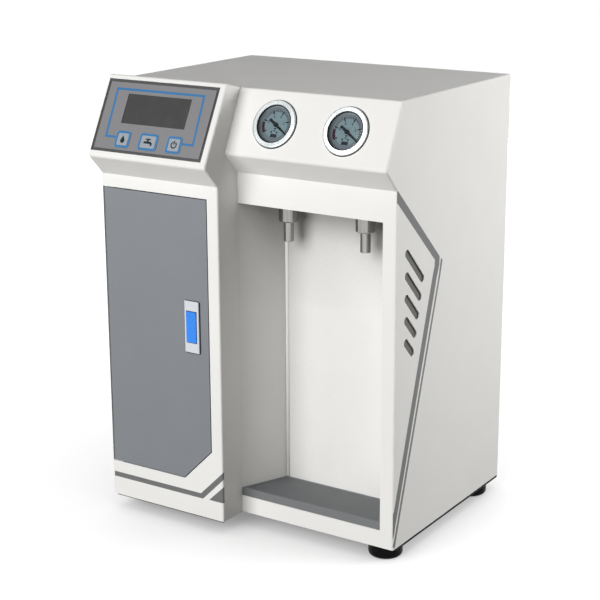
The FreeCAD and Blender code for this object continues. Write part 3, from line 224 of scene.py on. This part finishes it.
def glass(name, tint, reflect):
    """A thin clear pane: what is behind it shows, under a faint reflection."""
    made = bpy.data.materials.new(name)
    tree = bare_tree(made)
    place = add(tree, "ShaderNodeTexCoord").outputs["Object"]
    smear = spread(tree, noise(tree, place, SMEAR_SIZE, 4.0), *SMEAR)
    clear = add(tree, "ShaderNodeBsdfTransparent", {"Color": lin(*tint)})
    gloss = add(tree, "ShaderNodeBsdfGlossy", {"Roughness": smear})
    fresnel = add(tree, "ShaderNodeFresnel", {"IOR": GLASS_IOR})
    amount = times(tree, fresnel.outputs[0], reflect)
    mixed = add(tree, "ShaderNodeMixShader", {0: amount, 1: clear.outputs[0],
                                              2: gloss.outputs[0]})
    finish_tree(tree, "ShaderNodeOutputMaterial", mixed)
    return made


# Finishes of the CAD's own pieces, by the material slots of the record. An edge tone lighter than
# its finish is a painted highlight along the edges; a darker one only darkens them.
finishes = surfaces({
    "cabinet_paint": ((240, 239, 236), 0.5, dict(
        mottle_and_reflection=0.012, grain=0.008, bump=0.012, bump_size=1.1, edge=(250, 250, 248),
        edge_radius=1.2, specular=0.06)),
    "door_grey": ((123, 127, 131), 0.45, dict(
        grain=0.05, grain_size=0.5, bump=0.015, edge=(96, 100, 104))),
    "tray_grey": ((112, 114, 116), 0.5, dict(
        mottle_and_reflection=0.03, grain=0.05, bump=0.02, edge=(140, 142, 143), edge_radius=1.0)),
    "mat_grey": ((104, 106, 108), 0.6, dict(mottle_and_reflection=0.04, grain=0.06, bump=0.05, bump_size=1.4)),
    "black_plastic": ((52, 52, 53), 0.5, dict(mottle_and_reflection=0.05, grain=0.08, bump=0.03)),
    "latch_light": ((214, 217, 221), 0.35, dict(edge=(200, 196, 190))),
    "latch_blue": ((4, 130, 238), 0.3, dict(
        mottle_and_reflection=0.05, coat=0.4, edge=(110, 178, 255), edge_radius=1.0)),
    "overlay_grey": ((119, 119, 121), 0.42, dict(
        mottle_and_reflection=0.015, grain=0.06, grain_size=0.35, bump=0.02, bump_size=0.35)),
    "lcd_glass": ((43, 43, 43), 0.22, dict(mottle_and_reflection=0.03, mottle_size=25.0, grain=0.02, bump=0.002)),
    "key_face": ((148, 154, 160), 0.42, dict(bump=0.015, bump_size=0.4)),
    "circuit_board": ((30, 92, 58), 0.4, dict(
        mottle_and_reflection=0.2, mottle_size=6.0, grain=0.2, grain_size=1.2, bump=0.05)),
    "gauge_steel": ((206, 212, 213), 0.16, dict(
        metallic=1.0, grain=0.03, bump=0.004, rough_vary=0.04)),
    "dial_face": ((122, 142, 148), 0.5, dict(
        mottle_and_reflection=0.06, mottle_size=9.0, grain=0.04, bump=0.005, specular=0.1)),
    "pointer_black": ((8, 18, 22), 0.5, dict(mottle_and_reflection=0.1, mottle_size=6.0, specular=0.1)),
    # Its strong tone noise, stretched upright, paints bright and dark vertical bands on the
    # nozzles: a painted reflection.
    "stainless_steel": ((152, 151, 148), 0.12, dict(
        metallic=1.0, mottle_and_reflection=0.4, mottle_size=8.0, grain=0.08, grain_size=1.2, bump=0.004,
        bump_size=0.6, rough_vary=0.03, stretch=(1.0, 1.0, 0.04))),
    "valve_plastic": ((52, 53, 55), 0.5, dict(mottle_and_reflection=0.05, bump=0.03)),
    "zinc_steel": ((186, 189, 192), 0.35, dict(
        metallic=1.0, mottle_and_reflection=0.12, mottle_size=14.0, grain=0.06, bump=0.02)),
    "foot_rubber": ((4, 4, 4), 0.25, dict(
        mottle_and_reflection=0.1, mottle_size=12.0, grain=0.1, bump=0.02, bump_size=0.6, specular=0.1)),
    "clip_plastic": ((226, 226, 222), 0.5, dict(bump=0.03)),
    "vessel_plastic": ((236, 237, 238), 0.34, dict(mottle_and_reflection=0.03, bump=0.02, bump_size=2.0)),
    "pump_plastic": ((42, 43, 46), 0.5, dict(mottle_and_reflection=0.06, bump=0.04)),
    "motor_steel": ((150, 152, 155), 0.38, dict(metallic=1.0, mottle_and_reflection=0.06, grain=0.1)),
    "supply_aluminium": ((198, 200, 203), 0.42, dict(metallic=1.0, grain=0.12, mottle_and_reflection=0.04)),
    "tube_plastic": ((232, 236, 240), 0.3, dict(mottle_and_reflection=0.03)),
    "port_plastic": ((206, 209, 212), 0.45, dict(bump=0.03)),
    "rocker_plastic": ((22, 22, 24), 0.32, dict(bump=0.02)),
})
finishes["gauge_glass"] = glass("gauge_glass", (252, 253, 253), 0.12)

# Finishes of what only this script adds, and of the bay, whose depth lies in shade: the liner's
# paint is a little darker than the cabinet's white and darker still in its hollows, both painted
# shade.
trims = surfaces({
    "liner_paint_and_painted_shade": ((232, 231, 228), 0.5, dict(
        mottle_and_reflection=0.015, grain=0.01, bump=0.012, bump_size=1.1, specular=0.25, painted_shade_reach=150.0)),
    "trim_grey": ((104, 105, 104), 0.45, dict(grain=0.03, bump=0.008)),
    "trim_blue": ((14, 104, 160), 0.4, dict(mottle_and_reflection=0.03, grain=0.04, bump=0.008)),
    "mark_dark": ((12, 26, 32), 0.5, dict(mottle_and_reflection=0.04, grain=0.04, bump=0.006, specular=0.15)),
    "band_dark": ((106, 115, 122), 0.5, dict(
        mottle_and_reflection=0.05, mottle_size=9.0, bump=0.006, specular=0.1)),
    # the dial rim's grey, lighter than the dial's band to lift it out of the shade it lies in:
    # painted light
    "rim_grey_with_painted_light": ((185, 192, 196), 0.5, dict(mottle_and_reflection=0.03, bump=0.006, specular=0.1)),
    "mark_red": ((50, 5, 30), 0.5, dict(mottle_and_reflection=0.05, mottle_size=5.0, bump=0.006, specular=0.1)),
    # the gauges' gaskets, and the strips of painted shade under the cabinet
    "gasket_and_shade_black": ((16, 18, 20), 0.55, dict(mottle_and_reflection=0.06, bump=0.02, specular=0.15)),
    # the dark rim round the latch: painted shade, widest on the right
    "latch_shade_dark": ((52, 55, 57), 0.6, dict(mottle_and_reflection=0.06, bump=0.02, specular=0.1)),
    "backing_grey": ((116, 115, 112), 0.7, dict(
        mottle_and_reflection=0.06, mottle_size=12.0, grain=0.12, bump=0.06, specular=0.2)),
    # matt grey of the gauge flanges' rolled rims, darker than their steel: painted shade
    "rolled_edge_shade_grey": ((158, 160, 160), 0.5, dict(mottle_and_reflection=0.04, specular=0.2)),
})
for part in frame["record"]["subparts"]:
    for slot in frame["nodes"][part["node"]].material_slots:
        slot.material = finishes[part["material_slot"]]
for slot in frame["nodes"]["bay_liner"].material_slots:
    slot.material = trims["liner_paint_and_painted_shade"]

# ---- Shapes --------------------------------------------------------------------------------------
FILM = 0.06  # a printed layer's thickness
SAME_POINT = 1e-4
WRAP_STEPS = 6
LATHE_STEPS = 96
CORNER_STEPS = 6
SMOOTH_UP_TO = math.radians(35)
FIGURE_HALF_DEPTH = 0.03


def place_mesh(name, mesh, material, body):
    """Put a finished mesh in the scene, on a body of the part."""
    mesh.name = name
    mesh.materials.clear()
    mesh.materials.append(material)
    piece = bpy.data.objects.new(name, mesh)
    bpy.context.scene.collection.objects.link(piece)
    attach(piece, body)


def outline_mesh(holder):
    """The mesh of a curve or a text, whose own object goes."""
    mesh = bpy.data.meshes.new_from_object(holder)
    bpy.data.objects.remove(holder)
    return mesh


def wrap_round(made, start, way):
    """Bend what lies past start, along x, round the cabinet's rounded edge."""
    for i in range(WRAP_STEPS):
        cut = start + way * EDGE * math.pi / 2 * i / WRAP_STEPS
        bmesh.ops.bisect_plane(made, geom=made.verts[:] + made.edges[:] + made.faces[:],
                               plane_co=(cut, 0.0, 0.0), plane_no=(1.0, 0.0, 0.0),
                               dist=SAME_POINT)
    for vertex in made.verts:
        past = (vertex.co.x - start) * way
        if past > 0:
            angle = min(past / EDGE, math.pi / 2)
            reach = EDGE + vertex.co.z
            vertex.co.x = start + way * reach * math.sin(angle)
            vertex.co.z = reach * math.cos(angle) - EDGE


def plate(name, loops, place, low, high, material, body="cabinet", soft=0.0, wrap=None):
    """A flat piece from outlines in millimetres, with holes, between two heights."""
    curve = bpy.data.curves.new(name, "CURVE")
    curve.dimensions = "2D"
    curve.fill_mode = "BOTH"
    curve.extrude = (high - low) / 2 - soft
    curve.bevel_depth = soft
    curve.offset = -soft
    for loop in loops:
        spline = curve.splines.new("POLY")
        spline.points.add(len(loop) - 1)
        for point, (x, y) in zip(spline.points, loop):
            point.co = (x, y, 0.0, 1.0)
        spline.use_cyclic_u = True
    mesh = outline_mesh(bpy.data.objects.new(name, curve))
    bpy.data.curves.remove(curve)
    made = bmesh.new()
    made.from_mesh(mesh)
    bmesh.ops.remove_doubles(made, verts=made.verts, dist=SAME_POINT)
    bmesh.ops.translate(made, verts=made.verts, vec=(0, 0, (low + high) / 2))
    if wrap:
        wrap_round(made, *wrap)
    bmesh.ops.transform(made, matrix=place, verts=made.verts)
    made.to_mesh(mesh)
    made.free()
    place_mesh(name, mesh, material, body)


def film(name, loops, place, base, material, body="cabinet", wrap=None):
    """A printed layer on the given height."""
    plate(name, loops, place, base, base + FILM, trims[material], body, wrap=wrap)


def lathe(name, profile, place, material):
    """A closed outline of (radius, height) turned round the place's own axis."""
    made = bmesh.new()
    rings = []
    for i in range(LATHE_STEPS):
        angle = 2 * math.pi * i / LATHE_STEPS
        rings.append([made.verts.new((r * math.cos(angle), r * math.sin(angle), h))
                      for r, h in profile])
    for ring, after in zip(rings, rings[1:] + rings[:1]):
        for i in range(len(profile)):
            j = (i + 1) % len(profile)
            made.faces.new((ring[i], after[i], after[j], ring[j]))
    bmesh.ops.transform(made, matrix=place, verts=made.verts)
    bmesh.ops.recalc_face_normals(made, faces=made.faces)
    mesh = bpy.data.meshes.new(name)
    made.to_mesh(mesh)
    made.free()
    mesh.shade_smooth()
    mesh.set_sharp_from_angle(angle=SMOOTH_UP_TO)
    place_mesh(name, mesh, trims[material], "cabinet")


def figure(name, text, size, x, y, height, place, material):
    """A figure lying on a face, centred at x, y."""
    curve = bpy.data.curves.new(name, "FONT")
    curve.body = text
    curve.size = size
    curve.align_x = "CENTER"
    curve.align_y = "CENTER"
    curve.extrude = FIGURE_HALF_DEPTH
    mesh = outline_mesh(bpy.data.objects.new(name, curve))
    mesh.transform(place @ Matrix.Translation((x, y, height)))
    place_mesh(name, mesh, trims[material], "cabinet")


# Outlines: lists of points on a face, in millimetres.
def rectangle(x0, x1, y0, y1, radius=0.0):
    if not radius:
        return [(x0, y0), (x1, y0), (x1, y1), (x0, y1)]
    loop = []
    for centre, start in (((x1 - radius, y0 + radius), -90), ((x1 - radius, y1 - radius), 0),
                          ((x0 + radius, y1 - radius), 90), ((x0 + radius, y0 + radius), 180)):
        loop += arc(radius, start, start + 90, CORNER_STEPS, centre)
    return loop


def arc(radius, start, end, steps=24, centre=(0.0, 0.0)):
    angles = [math.radians(start + (end - start) * i / steps) for i in range(steps + 1)]
    return [(centre[0] + radius * math.cos(angle), centre[1] + radius * math.sin(angle))
            for angle in angles]


def circle(radius, steps, centre=(0.0, 0.0)):
    return arc(radius, 0, 360, steps, centre)[:-1]


def sector(inner, outer, start, end):
    return arc(inner, start, end) + arc(outer, end, start)


def stroke(points, width):
    """Outline of a line of the given width with mitred corners."""
    sides = [[], []]
    for i, (x, y) in enumerate(points):
        before = Vector(points[i]) - Vector(points[i - 1]) if i else None
        after = Vector(points[i + 1]) - Vector(points[i]) if i + 1 < len(points) else None
        normals = [Vector((-d.y, d.x)).normalized() for d in (before, after) if d]
        normal = (normals[0] + normals[-1]).normalized()
        reach = width / 2 / normal.dot(normals[0])
        sides[0].append((x + normal.x * reach, y + normal.y * reach))
        sides[1].append((x - normal.x * reach, y - normal.y * reach))
    return sides[0] + sides[1][::-1]


def moved(loop, dx, dy):
    return [(x + dx, y + dy) for x, y in loop]


# ---- Grey bands on the cabinet, wrapped round its front edges ------------------------------------
side_turn = (EDGE, -1)
side_band = [(0.5, 456.7), (108.3, 355.3), (108.0, 345.0), (102.5, 332.0), (0.5, 14.9),
             (0.5, 48.3), (91.3, 334.7), (95.5, 345.0), (95.9, 353.4), (0.5, 441.5)]
film("side_band", [side_band], RIGHT_SIDE, 0.0, "trim_grey", wrap=side_turn)
side_line = [(112.0, 352.9), (116.0, 348.6), (110.9, 330.2), (4.7, 1.5), (0.5, 5.1),
             (107.3, 331.6)]
film("side_line", [side_line], RIGHT_SIDE, 0.0, "trim_grey", wrap=side_turn)

turn_x = COLUMN_WIDTH - EDGE
past_edge = turn_x + EDGE * math.pi / 2
front_turn = (turn_x, 1)
front_band = [(2.6, 25.5), (151.2, 25.5), (past_edge, 59.8), (past_edge, 69.8), (148.2, 32.5),
              (2.6, 32.5)]
film("front_band", [front_band], COLUMN, 0.0, "trim_grey", wrap=front_turn)
front_corner = [(161.4, 26.2), (past_edge, 26.2), (past_edge, 49.5)]
film("front_corner", [front_corner], COLUMN, 0.0, "trim_grey", wrap=front_turn)

# ---- Grey sheet behind the vent slots ------------------------------------------------------------
backing_sheet = [(10.0, 390.0), (34.0, 396.0), (79.0, 346.0), (79.0, 320.0), (62.0, 232.0),
                (10.0, 232.0)]
BACKING_BACK, BACKING_FRONT = -3.8, -2.3
plate("vent_backing", [backing_sheet], RIGHT_SIDE, BACKING_BACK, BACKING_FRONT,
      trims["backing_grey"], soft=0.3)

# ---- Bright strips in the dispensing bay's back corners: painted highlight -----------------------
BAY_SIDES = {"left": (184.0, 1), "right": (393.5, -1)}  # x at the front, and the way inwards
BAY_DEPTH, BAY_SPLAY, BAY_FLOOR, BAY_CEILING = 65.0, 28.0, 23.0, 416.5
HIGHLIGHT_WIDTH, HIGHLIGHT_HEIGHT, HIGHLIGHT_SLANT = 4.8, 1.2, 0.3
HIGHLIGHT_ABOVE_FLOOR, HIGHLIGHT_BELOW_CEILING = 12.0, 0.2
# They take the cabinet's paint, without the liner's painted shade, so they stand out as bright
# lines.
for side, (front_x, way) in BAY_SIDES.items():
    x = front_x + way * BAY_SPLAY
    top_y = BAY_DEPTH - HIGHLIGHT_HEIGHT
    highlight_strip = [(x, BAY_DEPTH), (x + way * HIGHLIGHT_WIDTH, BAY_DEPTH),
            (x + way * (HIGHLIGHT_WIDTH - HIGHLIGHT_SLANT), top_y), (x + way * HIGHLIGHT_SLANT, top_y)]
    plate(f"bay_corner_highlight_{side}", [highlight_strip], FROM_ABOVE, BAY_FLOOR + HIGHLIGHT_ABOVE_FLOOR,
          BAY_CEILING - HIGHLIGHT_BELOW_CEILING, finishes["cabinet_paint"])

# ---- Dark strips of painted shade under the column and the right side ----------------------------
STRIP_TOP, STRIP_BACK = -0.02, -2.6
plate("column_shade_strip", [rectangle(6.0, 183.0, -1.2, STRIP_TOP)], COLUMN, STRIP_BACK, -0.4,
      trims["gasket_and_shade_black"])
plate("side_shade_strip", [rectangle(8.0, 294.0, -3.2, STRIP_TOP)], RIGHT_SIDE, STRIP_BACK, -0.1,
      trims["gasket_and_shade_black"])

# ---- Prints on the control panel -----------------------------------------------------------------
OVERLAY_TOP, KEY_TOP = -0.4, 0.0
KEYS = {"left": (49.0, 23.0), "middle": (89.3, 29.0), "right": (129.4, 23.0)}  # middle x, width
KEY_LOW, KEY_HIGH = 14.5, 36.9
KEY_MIDDLE = (KEY_LOW + KEY_HIGH) / 2
OUTLINE_INSETS = ((0.3, 3.4), (3.3, 1.4))  # from the key's rim, and the corners' radius
LOOP_WIDTH, LOOP_LOW, LOOP_HIGH, LOOP_FROM_KEY = 3.0, 28.0, 91.3, 12.0

loop = [(KEYS["left"][0] - LOOP_FROM_KEY, LOOP_LOW), (21.0, LOOP_LOW), (19.5, LOOP_HIGH),
        (155.2, LOOP_HIGH), (157.6, LOOP_LOW), (KEYS["right"][0] + LOOP_FROM_KEY, LOOP_LOW)]
film("panel_loop", [stroke(loop, LOOP_WIDTH)], PANEL, OVERLAY_TOP, "trim_blue")

drop = [(0.0, 5.2)] + arc(3.3, 35, -215, 30, (0.0, -1.6))
tap = [(-6.6, 0.6), (-1.7, 0.7), (-1.7, 2.7), (-4.2, 2.6), (-4.2, 4.4), (3.2, 4.4), (3.2, 2.6),
       (0.7, 2.7), (0.7, 0.7), (4.2, 0.6), (6.6, -1.2), (6.6, -4.6), (3.9, -4.6), (3.9, -2.2),
       (-6.6, -2.2)]
power = [sector(3.0, 4.7, 122, 418), rectangle(-0.85, 0.85, 0.6, 5.4)]
ICONS = {"left": [drop], "middle": [tap], "right": power}
for side, (centre, width) in KEYS.items():
    x0, x1 = centre - width / 2, centre + width / 2
    rims = [rectangle(x0 + inset, x1 - inset, KEY_LOW + inset, KEY_HIGH - inset, radius)
            for inset, radius in OUTLINE_INSETS]
    film(f"key_outline_{side}", rims, PANEL, KEY_TOP, "trim_blue", "key_" + side)
    icon = [moved(shape, centre, KEY_MIDDLE) for shape in ICONS[side]]
    film(f"key_icon_{side}", icon, PANEL, KEY_TOP, "mark_dark", "key_" + side)

# ---- Dark rim round the door's latch: painted shade of the plate's side and its shadow -----------
LATCH = (129.25, 152.1, 224.0, 292.5)  # left, right, foot, top
SHADE_PAST_LATCH = (-0.3, 1.3, -0.7, 0.6)
SHADE_BACK, SHADE_FRONT, SHADE_SOFT = 0.05, 1.2, 0.1
shade_rim = [edge + past for edge, past in zip(LATCH, SHADE_PAST_LATCH)]
plate("latch_shade_rim", [rectangle(*shade_rim, 2.4), rectangle(*LATCH, 2.0)], COLUMN, SHADE_BACK,
      SHADE_FRONT, trims["latch_shade_dark"], "door", SHADE_SOFT)

# ---- Gauge dials ---------------------------------------------------------------------------------
GAUGES = {"left": 246.5, "right": 347.0}
GAUGE_UP = 43.2
LENS_TOP, LENS_LOW = 2.0, 0.5
DIAL_TOP = -2.3
BAND_EDGES = (23.4, 16.2)
LIMIT_SECTOR = (15.9, 19.8, 172, 214)
SCALE_START, SCALE_TURN = -33.0, 246.0
TICKS, TICKS_TO_LONG = 25, 5
TICK_END = 19.2
LONG_TICK, SHORT_TICK = (13.8, 1.7), (16.6, 0.7)  # inner end, width
NUMBER_RADIUS, NUMBER_SIZE = 11.0, 5.4
RIM_EDGE = 23.55
FLANGE_EDGE, FLANGE_TOP, FLANGE_ROLL = 29.55, 2.55, 0.45

rim = [(RIM_EDGE, DIAL_TOP + 0.02), (22.3, DIAL_TOP + 0.02), (23.2, LENS_LOW - 0.05),
       (RIM_EDGE, LENS_LOW - 0.05)]
gasket = [(22.7, LENS_TOP), (22.9, LENS_TOP + 0.4), (23.5, LENS_TOP + 0.7),
          (24.15, LENS_TOP + 0.5), (24.15, LENS_TOP)]
roll = circle(FLANGE_ROLL, 12, (FLANGE_EDGE, FLANGE_TOP))
foot_ring = [(29.9, 0.02), (30.9, 0.02), (30.7, 0.5), (30.1, 0.7), (29.9, 0.7)]
# Plain shapes where such a dial has its small print.
marks = [rectangle(-4.6, 4.6, -15.8, -11.5, 0.8), circle(1.25, 16, (-4.2, -9.2)),
         circle(1.25, 16, (3.4, -9.2)), rectangle(-1.3, 1.7, -5.4, -3.6),
         rectangle(-1.6, 0.8, -8.0, -6.6)]


def scale_angle(share):
    return math.radians(SCALE_START + SCALE_TURN * share)


ticks = []
for i in range(TICKS + 1):
    angle = scale_angle(i / TICKS)
    start, width = SHORT_TICK if i % TICKS_TO_LONG else LONG_TICK
    way = Vector((math.cos(angle), math.sin(angle)))
    ticks.append(stroke([tuple(way * start), tuple(way * TICK_END)], width))

for side, x in GAUGES.items():
    dial = HOOD @ Matrix.Translation((x, GAUGE_UP, 0.0))
    band = [circle(radius, 72) for radius in BAND_EDGES]
    film(f"dial_band_{side}", band, dial, DIAL_TOP, "band_dark")
    film(f"dial_limit_{side}", [sector(*LIMIT_SECTOR)], dial, DIAL_TOP + FILM, "mark_red")
    film(f"dial_ticks_{side}", ticks, dial, DIAL_TOP + 2 * FILM, "mark_dark")
    for i in range(1, TICKS // TICKS_TO_LONG):
        angle = scale_angle(i * TICKS_TO_LONG / TICKS)
        figure(f"dial_number_{side}_{i}", str(2 * i), NUMBER_SIZE, NUMBER_RADIUS * math.cos(angle),
               NUMBER_RADIUS * math.sin(angle), DIAL_TOP + FILM, dial, "mark_dark")
    film(f"dial_marks_{side}", marks, dial, DIAL_TOP, "mark_dark")
    # a light ring over the dial's edge, covering the shaded wall of the bore: painted light
    lathe(f"dial_rim_{side}", rim, dial, "rim_grey_with_painted_light")
    lathe(f"gauge_gasket_{side}", gasket, dial, "gasket_and_shade_black")
    # the flange's rolled rim, in a grey that paints the shade along the flange's outline
    lathe(f"gauge_edge_{side}", roll, dial, "rolled_edge_shade_grey")
    lathe(f"gauge_seal_{side}", foot_ring, dial, "gasket_and_shade_black")

# ---- Floor and backdrop --------------------------------------------------------------------------
# A matt card that lamps shine on, dark for bounced light, under a white glow for the rays that see
# it. The glow weakens near the object and close under it: a painted shadow of the object on the
# floor.
FLOOR_REACH = 20.0
CARD_BOUNCED, CARD_SEEN = 0.22, 0.48
GLOW_NEAR, GLOW_RING = 0.8, (0.45, 1.1)  # the glow's strength near by, lowered there as painted shade, and where it grows to one
# painted contact shadow: its darkest, the open shares it rises over, and its reach in metres
CONTACT_SHADE, CONTACT_OPEN, CONTACT_REACH = 0.26, (0.0, 0.9), 0.4
AMBIENT = 0.015  # the world's light on the object; it looks white all the same

floor_mesh = bpy.data.meshes.new("floor")
corners = rectangle(-FLOOR_REACH, FLOOR_REACH, -FLOOR_REACH, FLOOR_REACH)
floor_mesh.from_pydata([(x, y, FLOOR_Z) for x, y in corners], [], [(0, 1, 2, 3)])
floor = bpy.data.objects.new("floor", floor_mesh)
bpy.context.scene.collection.objects.link(floor)

ground = bpy.data.materials.new("floor_white")
tree = bare_tree(ground)
ray = add(tree, "ShaderNodeLightPath")
card = add(tree, "ShaderNodeMapRange", {"Value": ray.outputs["Is Camera Ray"],
                                        "To Min": CARD_BOUNCED, "To Max": CARD_SEEN})
matt = add(tree, "ShaderNodeBsdfDiffuse", {"Color": card.outputs["Result"]})
place = add(tree, "ShaderNodeTexCoord").outputs["Object"]
away = add(tree, "ShaderNodeVectorMath", {0: place}, operation="LENGTH")
near = add(tree, "ShaderNodeAmbientOcclusion", {"Distance": CONTACT_REACH},
           samples=SHADE_SAMPLES)
level = times(tree, spread(tree, away.outputs["Value"], GLOW_NEAR, 1.0, GLOW_RING),
              spread(tree, near.outputs["AO"], CONTACT_SHADE, 1.0, CONTACT_OPEN))
glow = add(tree, "ShaderNodeEmission", {"Color": (1, 1, 1, 1),
                                        "Strength": times(tree, seen_rays(tree), level)})
both = add(tree, "ShaderNodeAddShader", {0: matt.outputs[0], 1: glow.outputs[0]})
finish_tree(tree, "ShaderNodeOutputMaterial", both)
floor_mesh.materials.append(ground)

world = bpy.data.worlds.new("studio")
bpy.context.scene.world = world
tree = bare_tree(world)
ambient = add(tree, "ShaderNodeBackground", {"Color": (1, 1, 1, 1), "Strength": AMBIENT})
shown = add(tree, "ShaderNodeBackground", {"Color": (1, 1, 1, 1), "Strength": 1.0})
mixed = add(tree, "ShaderNodeMixShader", {0: seen_rays(tree), 1: ambient.outputs[0],
                                          2: shown.outputs[0]})
finish_tree(tree, "ShaderNodeOutputWorld", mixed)


# ---- Lamps and camera ----------------------------------------------------------------------------
def lamp(name, place, aim, width, height, level):
    """Soft rectangular lamp that gives the level, at its aim, that a white card shows as itself."""
    data = bpy.data.lights.new(name, "AREA")
    data.shape = "RECTANGLE"
    data.size, data.size_y = width, height
    way = Vector(aim) - Vector(place)
    data.energy = level * math.pi ** 2 * way.length_squared
    made = bpy.data.objects.new(name, data)
    made.location = place
    made.rotation_euler = way.to_track_quat("-Z", "Y").to_euler()
    bpy.context.scene.collection.objects.link(made)


MIDDLE = (0.0, 0.0, 0.3)
lamp("front_light", (-0.65, -3.6, 1.5), MIDDLE, 2.8, 2.9, 1.08)
lamp("back_light", (-1.3, 2.7, 0.35), MIDDLE, 2.0, 0.6, 0.5)
lamp("right_light", (1.45, 0.55, 0.84), (0.2, 0.05, 0.3), 0.7, 0.6, 0.84)

# The photograph's camera, solved from the cabinet's corners: metres and degrees in its frame.
CAMERA_PLACE = (1.26738, -1.52034, 0.81641)
CAMERA_TURN, CAMERA_DIP, CAMERA_ROLL = 33.10, 15.76, -0.2493
CAMERA_LENS, CAMERA_SENSOR = 91.39, 36.0
camera_data = bpy.data.cameras.new("camera")
camera_data.sensor_width = CAMERA_SENSOR
camera_data.lens = CAMERA_LENS
camera = bpy.data.objects.new("camera", camera_data)
turn = (Matrix.Rotation(math.radians(CAMERA_TURN), 4, "Z")
        @ Matrix.Rotation(math.radians(90 - CAMERA_DIP), 4, "X")
        @ Matrix.Rotation(math.radians(CAMERA_ROLL), 4, "Z"))
camera.matrix_world = CABINET @ Matrix.Translation(CAMERA_PLACE) @ turn
bpy.context.scene.collection.objects.link(camera)
bpy.context.scene.camera = camera
bpy.context.scene.view_settings.view_transform = "Standard"
